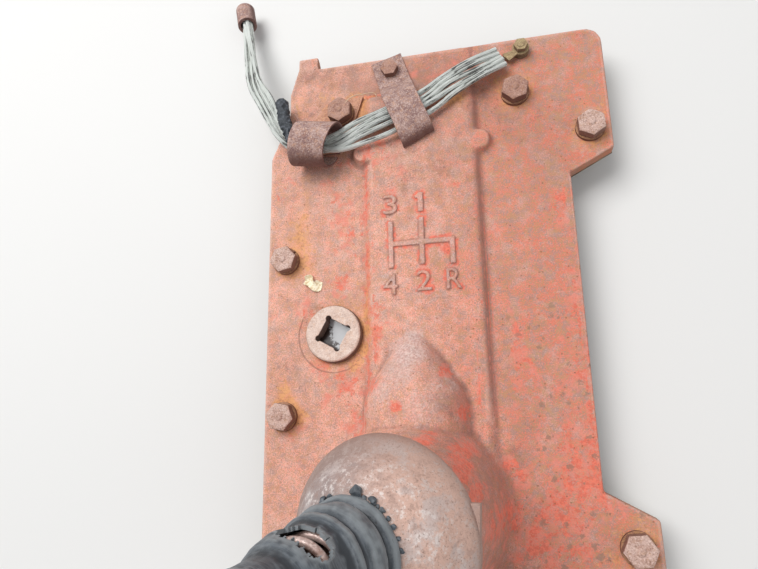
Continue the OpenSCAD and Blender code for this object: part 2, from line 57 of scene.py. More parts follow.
# Camera: it looks down on the cover from above the driver's seat, as in the photograph.
# The three vectors are the directions of its right, its top and its back.
camera_right = Vector((0.97606, -0.01794, -0.21675))
camera_up = Vector((0.06743, 0.97245, 0.22314))
camera_back = Vector((0.20678, -0.23241, 0.95038))
camera_place = Vector((0.049, -0.0655, 0.433))
bpy.ops.object.camera_add()
camera = bpy.context.object
camera.name = "camera"
camera.data.lens = 27.07
camera.data.sensor_width = 36
camera.data.clip_start = 0.01
camera.matrix_world = Matrix.Translation(camera_place) @ Matrix(
    (camera_right, camera_up, camera_back)
).transposed().to_4x4()
scene.camera = camera

# Loom: five copper wires in cloth braid, run together through the two clips. They lie side by
# side between the clips and in a round bundle in the rolled clip. The braid is frayed and has
# let dirt in along its length. The route is the middle of the bundle.
MM = 0.001
loom_route = [
    (62, 214, 22), (42, 204, 26), (21, 193, 28), (1, 181, 27.6), (-15, 175, 27.4), (-31, 170, 27.4),
    (-52, 162, 27.5), (-72, 153, 28), (-90, 152, 28), (-107, 155, 28), (-117, 166, 27), (-128, 186, 24),
    (-138, 205, 20), (-150, 228, 15), (-158, 256, 9), (-165, 286, 2), (-175, 326, -7),
]
# How flat the bundle lies at each point of the route: 0 is round, 1 is side by side
loom_flatness = [0.9, 1, 1, 0.95, 0.9, 1, 1, 0.7, 0.1, 0.15, 0.3, 0.5, 0.6, 0.5, 0.4, 0.2, 0]
wire_count = 5
wire_d = 4.1 * MM
wire_spacing = 4.4 * MM
round_radius = 3.6 * MM
loom_twist = radians(14)
# The first wire strays from the others between the clips, and all of them wander a little
stray = 4.5 * MM
wander_across = 0.5 * MM
wander_up = 0.8 * MM
braid_colour = (0.88, 0.91, 0.86, 1)
braid_shadow = (0.42, 0.44, 0.40, 1)
core_colour = (0.035, 0.032, 0.028, 1)


def add_node(tree, kind, inputs=None, **settings):
    """Add a node, with its settings, and with its inputs set or linked."""
    node = tree.nodes.new("ShaderNode" + kind)
    for key, value in settings.items():
        setattr(node, key, value)
    for key, value in (inputs or {}).items():
        if isinstance(value, bpy.types.NodeSocket):
            tree.links.new(value, node.inputs[key])
        else:
            node.inputs[key].default_value = value
    return node


def mapped(tree, place, **settings):
    """A place moved, turned or scaled, so that a pattern is too."""
    return add_node(tree, "Mapping", {"Vector": place, **settings}).outputs["Vector"]


def noise_of(tree, place, size, detail=3, rough=0.6):
    """Noise with grains of about the given size."""
    inputs = {"Vector": place, "Scale": 1 / size, "Detail": detail, "Roughness": rough}
    return add_node(tree, "TexNoise", inputs).outputs["Fac"]


def between(tree, value, low, high, first=0, last=1):
    """A soft step: first below low, last above high."""
    inputs = {"Value": value, "From Min": low, "From Max": high, "To Min": first, "To Max": last}
    return add_node(tree, "MapRange", inputs, interpolation_type="SMOOTHSTEP").outputs["Result"]


def mixed(tree, share, first, second):
    """Two colours mixed by a share of the second."""
    inputs = {0: share, 6: first, 7: second}
    return add_node(tree, "Mix", inputs, data_type="RGBA", clamp_factor=True).outputs[2]


def layered(tree, colour, *layers):
    """A colour with others laid over it in turn, each given with its share."""
    for share, over in layers:
        colour = mixed(tree, share, colour, over)
    return colour


def maths(tree, kind, first, second=0, third=0):
    """One step of arithmetic on up to three values."""
    return add_node(tree, "Math", {0: first, 1: second, 2: third}, operation=kind).outputs[0]


def times(tree, first, *others):
    """The product of two or more values."""
    for other in others:
        first = maths(tree, "MULTIPLY", first, other)
    return first


def summed(tree, *terms):
    """The sum of values, each given with its weight."""
    total = 0
    for value, weight in terms:
        total = maths(tree, "MULTIPLY_ADD", value, weight, total)
    return total


def start_material(name, **sockets):
    """A material with its shader's plain sockets set, and where the surface lies."""
    material = bpy.data.materials.new(name)
    material.use_nodes = True
    tree = material.node_tree
    shader = tree.nodes["Principled BSDF"]
    for socket, value in sockets.items():
        shader.inputs[socket.replace("_", " ")].default_value = value
    place = add_node(tree, "TexCoord").outputs["Object"]
    return material, tree, shader, place


def finish_material(tree, shader, colour, roughness, height, depth):
    """Link a colour, a roughness and a height, whose full range is depth, to the shader."""
    tree.links.new(colour, shader.inputs["Base Color"])
    tree.links.new(roughness, shader.inputs["Roughness"])
    bump = add_node(tree, "Bump", {"Height": height, "Distance": depth, "Strength": 1})
    tree.links.new(bump.outputs["Normal"], shader.inputs["Normal"])


cloth, tree, shader, place = start_material("wire_cloth", Roughness=0.9)
along = add_node(tree, "UVMap", uv_map="UVMap").outputs["UV"]
weave = mapped(tree, along, Scale=(150, 6, 1), Rotation=(0, 0, 0.5))
streak = noise_of(tree, mapped(tree, along, Scale=(13, 8, 1)), 1, 4)
wave = {"Vector": weave, "Scale": 1, "Distortion": 2, "Detail": 1}
braid = add_node(tree, "TexWave", wave).outputs["Fac"]
frayed = noise_of(tree, place, 16 * MM)
worn_through = maths(tree, "SUBTRACT", streak, maths(tree, "MULTIPLY_ADD", frayed, 0.5, 0.15))
colour = layered(
    tree, braid_colour,
    (between(tree, streak, 0.38, 0.54, 0.55, 0), braid_shadow),
    (between(tree, braid, 0.2, 0.8, 0.22, 0), braid_shadow),
    (between(tree, worn_through, 0.05, -0.01, 0, 0.88), core_colour),
)
height = summed(tree, (braid, 1), (streak, 2.5))
finish_material(tree, shader, colour, between(tree, streak, 0.3, 0.7, 0.75, 0.95), height, 0.4 * MM)


def clean_curve(name, points, radius, resolution=4):
    """A smooth round wire through points."""
    curve = bpy.data.curves.new(name, "CURVE")
    curve.dimensions = "3D"
    curve.bevel_depth = radius
    curve.bevel_resolution = resolution
    curve.resolution_u = 6
    curve.use_fill_caps = True
    spline = curve.splines.new("BEZIER")
    spline.bezier_points.add(len(points) - 1)
    for knot, point in zip(spline.bezier_points, points):
        knot.co = point
        knot.handle_left_type = knot.handle_right_type = "AUTO"
    wire = bpy.data.objects.new(name, curve)
    scene.collection.objects.link(wire)
    return wire


def beside_route(i, across, up):
    """A point beside the route's point i: across it to the right, and up from it."""
    here = Vector(loom_route[i]) * MM
    before = Vector(loom_route[max(i - 1, 0)])
    after = Vector(loom_route[min(i + 1, len(loom_route) - 1)])
    direction = (after - before).normalized()
    side = direction.cross(Vector((0, 0, 1))).normalized()
    return here + across * side + up * side.cross(direction)


for wire in range(wire_count):
    points = []
    for i, flat in enumerate(loom_flatness):
        angle = 2 * pi * wire / wire_count + loom_twist * i
        apart = sin(pi * min(max((i - 2) / 5, 0), 1))
        row_across = (wire - (wire_count - 1) / 2) * wire_spacing - (wire == 0) * stray * apart
        row_across += wander_across * sin(2.3 * i + 1.3 * wire)
        row_up = wander_up * sin(1.7 * i + 2.1 * wire)
        points.append(beside_route(
            i, (1 - flat) * round_radius * cos(angle) + flat * row_across,
            (1 - flat) * round_radius * sin(angle) + flat * row_up,
        ))
    cord = clean_curve(f"loom_wire_{wire + 1}", points, wire_d / 2)
    cord.data.materials.append(cloth)
    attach(cord, "cover")
    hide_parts("loom")

# Casting: the grey iron cover with its rail band, bulge and lever tower, sand cast in one piece
# and painted red. It is the cover's solid, remeshed and smoothed as sand casting rounds corners.
# Its paint is chalky and pink, worn to coral where hands and boots rub, and dirty or rusty in spots.
# Painted shade darkens its folds and the slopes that face right and forwards.
casting_voxel = 1.3 * MM
casting_rounding = 7
bulge_rounding = 6
edge_rounding = 14
foot_rounding = 30
casting_faces_kept = 0.44
# The bulge, the band's right edge and the tower's foot are rounder than the rest. Where they lie:
# along Y, along X, and out from the tower's middle, in millimetres. The tower's head is left out.
bulge_along = (-90, 4)
bulge_half_w = 52 * MM
edge_across = (31, 56)
edge_rear_y = -96 * MM
edge_from_tower = 74 * MM
foot_out = (54, 80)
foot_top = 45 * MM
head_out = 40 * MM
plate_top = 13 * MM
tower_at = Vector((-17.5, -125, 0)) * MM
chalk_left = (0.90, 0.43, 0.325, 1)
chalk_right = (0.74, 0.20, 0.13, 1)
chalk_pale = (0.90, 0.62, 0.51, 1)
worn_grey = (0.42, 0.25, 0.20, 1)
beige_grey = (0.59, 0.38, 0.32, 1)
coral = (0.90, 0.20, 0.12, 1)
coral_soft = (0.84, 0.26, 0.19, 1)
coral_deep = (0.70, 0.13, 0.075, 1)
rust_orange = (0.80, 0.40, 0.14, 1)
rust_brown = (0.36, 0.145, 0.07, 1)
golden_stain = (0.84, 0.365, 0.18, 1)
golden_grain = (0.50, 0.27, 0.15, 1)
shade_purple = (0.33, 0.15, 0.12, 1)
dirt_and_shade = (0.25, 0.115, 0.085, 1)
lichen = (0.29, 0.18, 0.13, 1)
bare_iron = (0.76, 0.62, 0.58, 1)
bare_dark = (0.52, 0.34, 0.31, 1)
oily_iron = (0.13, 0.085, 0.065, 1)
# Marks in the paint: x, y and radius in millimetres, then strength
coral_marks = [
    (-85, 75, 8, 1), (-77, 49, 7, 0.9), (-73, 37, 7, 1), (-48, 72, 5, 0.9), (-49, 48, 5, 1),
    (-49, 24, 6, 1), (-60, 80, 7, 0.9), (12, 59, 5, 1), (41, 31, 6, 1.1), (39, 11, 5, 1.1),
    (16, 17, 6, 0.9), (35, 41, 4, 0.8), (-25, -57, 4, 1.1), (19, -61, 5, 1), (7, -33, 5, 0.9),
    (33, -52, 6, 1.1), (-69, -39, 12, 0.9), (-87, -22, 9, 0.8), (-46, -41, 6, 0.8), (26, -22, 6, 1),
    (60, -1, 7, 0.9), (19, -86, 8, 1), (19, -96, 8, 1.1), (-2, -77, 6, 0.9), (48, -96, 6, 1),
    (27, -109, 6, 1.1), (54, -104, 7, 0.9), (43, -128, 13, 0.8), (-127, -108, 8, 0.7),
    (107, 74, 8, 0.9), (70, 72, 7, 0.9), (83, 39, 14, 0.9), (22, 116, 7, 0.8), (103, 21, 11, 1),
    (-95, 193, 7, 0.9), (-71, 138, 7, 0.9), (-46, 146, 6, 0.8), (-38, 153, 6, 0.8), (-36, 137, 7, 0.9),
    (-55, 201, 7, 1.1), (-87, 130, 9, 1), (-96, 119, 7, 0.9), (-30, 106, 6, 0.9), (-122, 111, 8, 0.8),
    (-44, 0, 6, 0.9), (-47, -20, 7, 0.9), (-52, 5, 6, 0.8), (100, -30, 12, 0.9), (88, -75, 16, 0.8),
    (96, -110, 22, 0.9), (70, -150, 26, 0.9), (60, -40, 10, 0.7), (102, 95, 12, 0.9),
    (-100, 15, 9, 0.6), (-112, -60, 11, 0.7), (-60, -70, 10, 0.7), (-104, 90, 9, 0.7),
    (75, 120, 12, 0.7), (100, 180, 10, 0.7), (-95, -160, 20, 0.7), (-28, -140, 16, 0.6),
    (20, -160, 14, 0.7), (-75, -120, 14, 0.6), (112, -185, 16, 0.8), (30, 215, 8, 0.7),
]
rust_marks = [
    (99, 165, 8, 0.7), (26, 182, 9, 0.9), (-103, 202, 9, 1), (-53, 2, 5, 0.9), (-56, -12, 6, 1),
    (-52, 14, 5, 0.8), (-71, 185, 17, 0.8), (-62, -22, 8, 0.6), (64, 205, 12, 0.5), (-95, 50, 5, 0.6),
    (120, 20, 7, 0.6), (-60, 190, 13, 0.8), (0, -196, 30, 0.5), (-114, 60, 14, 0.9),
    (-114.5, -57, 14, 1), (-104, -50, 7, 1), (-109, 72, 7, 0.7), (-74, -1, 25, 0.7),
    (71, 185.5, 17, 0.6), (124, 148, 18, 0.5), (124, -148, 18, 0.5), (-71, -196, 18, 0.5),
    (71, -196, 18, 0.5), (-120, -180, 22, 0.6), (78, 222, 9, 0.6),
]
grime_marks = [
    (11, 160, 17, 0.9), (5, 176, 10, 0.8), (-114, -16, 9, 0.5), (15, -3, 11, 0.35), (-43, 211, 30, 0.8),
    (0, 150, 36, 0.5), (-10, 120, 34, 0.3), (20, 205, 30, 0.7), (-85, 160, 22, 0.5), (60, 180, 30, 0.5),
    (-100, 225, 18, 0.5), (54, -92, 12, 0.5), (62, -138, 18, 0.5), (30, -165, 22, 0.6),
    (10, -60, 5, 0.5), (-66, -30, 7, 0.3), (90, 130, 26, 0.35), (-30, -185, 30, 0.5),
    (-80, -170, 22, 0.4), (-98, 24, 10, 0.35),
]
bare_marks = [
    (-19, -19, 13, 1), (-24, -31, 13, 0.7), (-36, -46, 10, 0.6), (6, -42, 12, 0.4), (-15, -8, 8, 0.9),
    (-8, -58, 14, 0.5), (-40, 40, 16, 0.3), (0, 75, 20, 0.3), (-20, 12, 12, 0.3), (-90, 20, 12, 0.3),
]
# How much of a coral mark shows
coral_share = 0.62
# The band's left edge, rubbed to coral, and its right foot, where dirt and painted shade lie in a thin
# line
rubbed_edge_x = -51 * MM
rubbed_edge_w = 5 * MM
rubbed_along = (-60, 150)
foot_dirt_and_shade_x = 38.5 * MM
shaded_facing = (0.86, 0.42, 0)
# The ring left in the paint round the filler plug's seat
paint_ring_at = Vector((-78.5, -0.5, 13)) * MM
paint_ring_r = 28.8 * MM


def select_only(piece):
    """Select one object and make it the active one."""
    bpy.ops.object.select_all(action="DESELECT")
    piece.select_set(True)
    bpy.context.view_layer.objects.active = piece


def copy_of(piece, name):
    """A copy with its own mesh."""
    copy = bpy.data.objects.new(name, piece.data.copy())
    scene.collection.objects.link(copy)
    return copy


def finish_with(piece, kind, **settings):
    """Add a modifier to a piece and apply it."""
    modifier = piece.modifiers.new(kind.lower(), kind)
    for key, value in settings.items():
        setattr(modifier, key, value)
    select_only(piece)
    bpy.ops.object.modifier_apply(modifier=modifier.name)


def rounded(piece, voxel, rounds):
    """Remesh a piece in even faces and smooth them, as casting or forging rounds it."""
    finish_with(piece, "REMESH", mode="VOXEL", voxel_size=voxel)
    finish_with(piece, "SMOOTH", factor=0.5, iterations=rounds)


def paint(piece, material):
    """Give a piece one material."""
    piece.data.materials.clear()
    piece.data.materials.append(material)


def dress(piece, body, slot, material, *nodes, crease=180):
    """Finish a piece: its material, body and CAD nodes. Edges past the crease angle stay sharp."""
    paint(piece, material)
    select_only(piece)
    bpy.ops.object.shade_smooth_by_angle(angle=radians(crease))
    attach(piece, body)
    if nodes:
        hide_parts(*nodes)


def points_of(piece):
    """The places of a mesh's vertices, one row each."""
    flat = np.empty(3 * len(piece.data.vertices), dtype=np.float32)
    piece.data.vertices.foreach_get("co", flat)
    return flat.reshape(-1, 3)


def marks_at(points):
    """How strongly each of the four tables of round marks covers each point: 0.5 at an edge."""
    channels = []
    for table in (coral_marks, rust_marks, grime_marks, bare_marks):
        strength = np.zeros(len(points), dtype=np.float32)
        for x, y, radius, most in table:
            away = np.hypot(points[:, 0] - x * MM, points[:, 1] - y * MM) / (radius * MM)
            strength = np.maximum(strength, most * np.clip(1.5 - away, 0, 1))
        channels.append(strength)
    return channels


def store(piece, name, kind, values):
    """Keep values for each vertex as a named attribute, which materials read."""
    table = piece.data.attributes.new(name, kind, "POINT")
    part = {"FLOAT": "value", "FLOAT_VECTOR": "vector", "FLOAT_COLOR": "color"}[kind]
    table.data.foreach_set(part, np.asarray(values, dtype=np.float32).ravel())


def store_hollows(piece, rounds, reach):
    """Keep how far each point lies in a fold, up to 1, or out on an edge, down to -1."""
    before = points_of(piece)
    normals = np.empty(3 * len(before), dtype=np.float32)
    piece.data.vertices.foreach_get("normal", normals)
    relaxed = copy_of(piece, "relaxed")
    finish_with(relaxed, "SMOOTH", factor=0.5, iterations=rounds)
    moved = ((points_of(relaxed) - before) * normals.reshape(-1, 3)).sum(axis=1) / reach
    bpy.data.objects.remove(relaxed)
    store(piece, "hollow", "FLOAT", np.clip(moved, -1, 1))


def within(values, low, high):
    """Which values lie between two bounds in millimetres."""
    return (values > low * MM) & (values < high * MM)


casting = copy_of(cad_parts["cover_casting"], "casting")
select_only(casting)
bpy.ops.object.mode_set(mode="EDIT")
bpy.ops.mesh.select_all(action="SELECT")
bpy.ops.mesh.remove_doubles(threshold=0.01 * MM)
bpy.ops.object.mode_set(mode="OBJECT")
rounded(casting, casting_voxel, casting_rounding)
x, y, z = points_of(casting).T
from_tower = np.hypot(x - tower_at.x, y - tower_at.y)
outside = (z > plate_top - 1 * MM) & (from_tower > head_out)
near_bulge = within(y, *bulge_along) & (np.abs(x - tower_at.x) < bulge_half_w)
near_foot = within(from_tower, *foot_out) & (z < foot_top)
near_edge = within(x, *edge_across) & (y > edge_rear_y) & (~near_foot | (from_tower > edge_from_tower))
for area, rounds in (
    (near_bulge, bulge_rounding), (near_edge, edge_rounding), (near_foot & ~near_bulge, foot_rounding),
):
    blend_group = casting.vertex_groups.new(name="blend")
    blend_group.add(np.flatnonzero(outside & area).tolist(), 1.0, "REPLACE")
    finish_with(casting, "SMOOTH", factor=0.5, iterations=rounds, vertex_group="blend")
    casting.vertex_groups.clear()
finish_with(casting, "DECIMATE", ratio=casting_faces_kept)
points = points_of(casting)
x, y, z = points.T
marks = marks_at(points)
left_edge = np.clip(1 - np.abs(x - rubbed_edge_x) / rubbed_edge_w, 0, 1) * within(y, *rubbed_along)
marks[0] = coral_share * np.maximum(marks[0], 0.95 * left_edge)
marks[3] = marks[3] * (z > plate_top)
store(casting, "marks", "FLOAT_COLOR", np.stack(marks, axis=1))
store_hollows(casting, rounds=30, reach=0.9 * MM)


def ruffled(tree, value, grains, swing):
    """A value made uneven by noise, by up to half the swing each way."""
    return maths(tree, "ADD", value, maths(tree, "MULTIPLY_ADD", grains, swing, -swing / 2))


def away_from(tree, value, middle):
    """How far a value is from a middle, on either side."""
    return maths(tree, "ABSOLUTE", maths(tree, "SUBTRACT", value, middle))


def axes_of(tree, vector):
    """A vector's X, Y and Z."""
    return add_node(tree, "SeparateXYZ", {"Vector": vector}).outputs


def colours_of(tree, colour):
    """A colour's red, green and blue."""
    return add_node(tree, "SeparateColor", {"Color": colour}).outputs


def stored(tree, name):
    """What reads a mesh's named attribute."""
    return add_node(tree, "Attribute", attribute_name=name).outputs


def start_group(name, inputs, outputs):
    """An empty shader node group: its tree, its inputs and its outputs, which are all values."""
    tree = bpy.data.node_groups.new(name, "ShaderNodeTree")
    for socket, kind in inputs.items():
        tree.interface.new_socket(name=socket, in_out="INPUT", socket_type="NodeSocket" + kind)
    for socket in outputs:
        tree.interface.new_socket(name=socket, in_out="OUTPUT", socket_type="NodeSocketFloat")
    given = tree.nodes.new("NodeGroupInput").outputs
    result = tree.nodes.new("NodeGroupOutput").inputs
    return tree, given, result


def use_group(tree, group, **inputs):
    """Place a node group in a material with its own values."""
    return add_node(tree, "Group", inputs, node_tree=group).outputs


# Ragged edge: turns a soft mark into a worn patch with a torn outline and holes in it
ragged_edge, given, result = start_group(
    "ragged_edge", {"Place": "Vector", "Mark": "Float", "Size": "Float"}, ["Patch"]
)
tree = ragged_edge
scale = maths(tree, "DIVIDE", 1.0, given["Size"])
coarse = add_node(tree, "TexNoise", {
    "Vector": given["Place"], "Scale": scale, "Detail": 5, "Roughness": 0.7,
}).outputs["Fac"]
fine = noise_of(tree, given["Place"], 0.9 * MM, 2)
torn = ruffled(tree, maths(tree, "MULTIPLY_ADD", coarse, 2.2, -1.1), fine, 1.1)
present = maths(tree, "MINIMUM", times(tree, given["Mark"], 8), 1)
edge = maths(tree, "MULTIPLY_ADD", torn, present, given["Mark"])
tree.links.new(between(tree, edge, 0.42, 0.62), result["Patch"])


def scattered(tree, place, size, channel):
    """Cells of about the given size: a number drawn for each, and how far its middle is."""
    cells = add_node(tree, "TexVoronoi", {"Vector": place, "Scale": 1 / size, "Randomness": 1}).outputs
    return colours_of(tree, cells["Color"])[channel], cells["Distance"]


# Cast grain: the skin that sand leaves on iron, as a height, and its light grains, dark grains
# and pits
cast_grain, given, result = start_group(
    "cast_grain", {"Place": "Vector"}, ["Height", "Light", "Dark", "Pits"]
)
tree = cast_grain
place = given["Place"]
shifted = mapped(tree, place, Location=(0.31, 0.17, 0.05))
height = summed(
    tree, (noise_of(tree, place, 1.1 * MM, 3, 0.65), 0.7), (noise_of(tree, place, 3.2 * MM, 2, 0.5), 0.5),
    (noise_of(tree, place, 15 * MM, 2, 0.5), 1.6), (noise_of(tree, shifted, 1.7 * MM, 2), 0.6),
)
tree.links.new(height, result["Height"])
light_grains = noise_of(tree, shifted, 1.4 * MM, 3, 0.7)
tree.links.new(between(tree, light_grains, 0.50, 0.64), result["Light"])
dark_grains = summed(
    tree, (noise_of(tree, shifted, 1.0 * MM, 3, 0.7), 1), (noise_of(tree, place, 11 * MM), 0.45)
)
tree.links.new(between(tree, dark_grains, 0.63, 0.80), result["Dark"])
chance, distance = scattered(tree, place, 2.6 * MM, 0)
reach = between(tree, chance, 0.72, 1.0, 0.0, 0.22)
pit = maths(tree, "SUBTRACT", reach, distance)
tree.links.new(between(tree, pit, -0.03, 0.03), result["Pits"])


def torn_patch(tree, place, mark, size):
    """A mark with the ragged outline of worn paint."""
    return use_group(tree, ragged_edge, Place=place, Mark=mark, Size=size)["Patch"]


painted_iron, tree, shader, place = start_material("painted_iron")
skin = use_group(tree, cast_grain, Place=place)
marked = stored(tree, "marks")
mark = colours_of(tree, marked["Color"])
axis = axes_of(tree, place)
normal = add_node(tree, "NewGeometry").outputs["Normal"]
facing = axes_of(tree, normal)["Z"]
clouds = noise_of(tree, place, 45 * MM, 4)
blotches = noise_of(tree, place, 8 * MM, 4, 0.58)
mottle = noise_of(tree, place, 4.5 * MM, 3, 0.5)
stains = noise_of(tree, place, 17 * MM, 4, 0.55)
# The right side of the cover kept more of its red, and has fewer light grains and more dark ones
redder = summed(tree, (axis["X"], 1), (clouds, 0.12))
light_share = between(tree, redder, 0.03, 0.13, 0.6, 0.22)
dark_share = between(tree, redder, 0.03, 0.13, 0.75, 0.95)
grain_tone = mixed(tree, between(tree, mottle, 0.4, 0.6), golden_grain, worn_grey)
colour = layered(
    tree, mixed(tree, between(tree, redder, 0.0, 0.15), chalk_left, chalk_right),
    (between(tree, blotches, 0.5, 0.68, 0, 0.35), coral_soft),
    (between(tree, blotches, 0.46, 0.34, 0, 0.5), beige_grey),
    (between(tree, mottle, 0.52, 0.68, 0, 0.45), beige_grey),
    (between(tree, stains, 0.5, 0.66, 0, 0.55), beige_grey),
    (times(tree, skin["Light"], light_share), chalk_pale),
    (times(tree, skin["Dark"], dark_share), grain_tone),
)
# Folds are darkened with dirt and with painted shade, and edges are rubbed pale. At the band's
# right foot the dirt and painted shade lie in a thin line only, and the plate beside it is left without.
uneven = ruffled(tree, stored(tree, "hollow")["Fac"], blotches, 0.8)
beside_foot = times(
    tree, between(tree, axis["X"], 39 * MM, 42 * MM), between(tree, axis["X"], 62 * MM, 56 * MM),
    between(tree, axis["Y"], -105 * MM, -85 * MM),
)
from_foot = ruffled(tree, away_from(tree, axis["X"], foot_dirt_and_shade_x), blotches, 6 * MM)
foot_dirt_and_shade = times(
    tree, between(tree, from_foot, 3 * MM, 0.4 * MM, 0, 0.75),
    between(tree, axis["Y"], -75 * MM, -40 * MM), between(tree, axis["Z"], 21 * MM, 18 * MM),
)
fold = times(tree, between(tree, uneven, 0.15, 0.75), maths(tree, "SUBTRACT", 1, beside_foot))
fold = maths(tree, "MAXIMUM", fold, foot_dirt_and_shade)
# Painted shade: slopes that face right and forwards are darker and more purple than those that face the
# seat
shaded_slope = add_node(
    tree, "VectorMath", {0: normal, 1: shaded_facing}, operation="DOT_PRODUCT"
).outputs["Value"]
shaded_slope = ruffled(tree, shaded_slope, blotches, 0.9)
dirt_and_foot_shade = maths(
    tree, "MAXIMUM", times(tree, torn_patch(tree, place, mark["Blue"], 14 * MM), 0.45),
    times(tree, mark["Blue"], 0.4),
)
bare = maths(
    tree, "MAXIMUM", times(tree, torn_patch(tree, place, marked["Alpha"], 5 * MM), 0.45),
    between(tree, marked["Alpha"], 0.1, 1.2, 0, 0.75),
)
bare_tone = mixed(tree, between(tree, noise_of(tree, place, 1.7 * MM), 0.4, 0.6), bare_dark, bare_iron)
fresh = torn_patch(tree, place, mark["Red"], 7 * MM)
fresh_tone = mixed(tree, between(tree, noise_of(tree, place, 2.5 * MM), 0.4, 0.6), coral, coral_deep)
rubbed = times(
    tree, maths(tree, "MULTIPLY_ADD", blotches, 3.2, -1.6), between(tree, mark["Red"], 0, 0.12)
)
rubbed = maths(tree, "ADD", mark["Red"], rubbed)
rusty = torn_patch(tree, place, mark["Green"], 6 * MM)
rust_tone = mixed(tree, between(tree, noise_of(tree, place, 2 * MM), 0.42, 0.7), rust_orange, rust_brown)
# The ring in the paint is a thin dark line of dirt and painted shade, left of the plug and behind it
from_plug = add_node(
    tree, "VectorMath", {0: place, 1: paint_ring_at}, operation="DISTANCE"
).outputs["Value"]
from_ring = away_from(tree, ruffled(tree, from_plug, blotches, 1.6 * MM), paint_ring_r)
ring_shade_line = times(
    tree, between(tree, from_ring, 0.9 * MM, 0.3 * MM, 0, 0.55),
    between(tree, maths(tree, "ADD", axis["X"], axis["Y"]), -82 * MM, -98 * MM),
)
# Grey-brown spots on the right side, where lichen grew
chance, distance = scattered(tree, place, 7 * MM, 1)
spot_edge = maths(tree, "SUBTRACT", between(tree, chance, 0.15, 1, 0, 0.4), distance)
spot_edge = ruffled(tree, spot_edge, noise_of(tree, place, 2.6 * MM, 4, 0.7), 1.3)
spot = times(
    tree, between(tree, spot_edge, 0.0, 0.16, 0, 0.7), between(tree, axis["X"], 30 * MM, 70 * MM),
    between(tree, axis["Y"], 50 * MM, 0),
)
# Edges and walls are browner, and the inside of the cover is oily
wall = times(
    tree, between(tree, facing, 0.75, 0.2, 0, 0.55), between(tree, axis["Z"], 16 * MM, 11 * MM)
)
below = between(tree, axis["Z"], 1.2 * MM, 0.8 * MM)
inside = maths(tree, "MAXIMUM", between(tree, facing, -0.15, -0.5), below)
colour = layered(
    tree, colour,
    (between(tree, uneven, -0.25, -0.8, 0, 0.22), chalk_pale),
    # Painted shade and dirt in the folds
    (times(tree, fold, 0.7), dirt_and_shade),
    (between(tree, shaded_slope, 0.1, 1.0, 0, 0.45), shade_purple),
    (dirt_and_foot_shade, dirt_and_shade),
    (bare, bare_tone),
    (between(tree, rubbed, 0.1, 0.8, 0, 0.6), coral_soft),
    (times(tree, fresh, 0.72), fresh_tone),
    (between(tree, mark["Green"], 0.05, 0.9, 0, 0.7), golden_stain),
    (times(tree, rusty, 0.6), rust_tone),
    (ring_shade_line, dirt_and_shade),
    (spot, lichen),
    (times(tree, skin["Pits"], 0.7), rust_brown),
    (wall, rust_brown),
    (inside, oily_iron),
)
roughness = summed(tree, (between(tree, blotches, 0.3, 0.7, 0.7, 0.92), 1), (inside, -0.35))
height = summed(tree, (skin["Height"], 1), (skin["Pits"], -0.5), (fresh, -0.15))
finish_material(tree, shader, colour, roughness, height, 0.6 * MM)
dress(casting, "cover", "painted_iron", painted_iron, "cover_casting")

# Gate diagram: raised bars and numerals on the band that show where each gear lies. They are
# cast with the cover and stand about 1.5 mm above the band. Their tops are rubbed bare,
# and rust and old paint hold on round them, so a thin skin of the band is made with them.
# The dark outline at their feet is rust and painted shade.
band_top = 21 * MM
raised = 1.6 * MM
sunk = 1 * MM
bar_w = 3.7 * MM
flag_w = 2.6 * MM
skin_low = (-46 * MM, 22 * MM)
skin_high = (30 * MM, 112 * MM)
skin_rise = 0.12 * MM
bars = {
    "left": ((-30.5, 49), (-30.5, 82.5)),
    "middle": ((-6.5, 50.5), (-6.5, 84)),
    "right": ((16.5, 49.5), (16.5, 65.5)),
    "cross": ((-30.5, 66), (16.5, 66.4)),
    "flag of the 1": ((-9.6, 103.2), (-6.8, 104.8)),
}
numerals = {"3": (-30.5, 98.5), "1": (-6.6, 98.5), "4": (-31.5, 34.5), "2": (-5.7, 36), "R": (16.6, 36)}
numeral_h = 15.5 * MM
numeral_w = 11 * MM
narrow_w = 0.36 * numeral_w
outline_w = 1.1 * MM
halo_w = 3.6 * MM
halo_patch = 9 * MM
diagram_voxel = 0.42 * MM
diagram_rounding = 4
diagram_faces_kept = 0.5
diagram_parts = []


def added(operator, name, **settings):
    """What an operator adds, with nothing else selected."""
    bpy.ops.object.select_all(action="DESELECT")
    operator(**settings)
    piece = bpy.context.object
    piece.name = piece.data.name = name
    return piece


def settle():
    """Apply the selected piece's place, turn and size to its mesh."""
    bpy.ops.object.transform_apply(location=True, rotation=True, scale=True)


def add_block(name, middle, size, turn=0.0):
    """A box at its middle, turned about Z, with its place in its mesh."""
    block = added(bpy.ops.mesh.primitive_cube_add, name, size=1, location=middle, rotation=(0, 0, turn))
    block.scale = size
    settle()
    return block


def join(piece, *others):
    """Join other meshes into a piece."""
    select_only(piece)
    for other in others:
        other.select_set(True)
    bpy.ops.object.join()


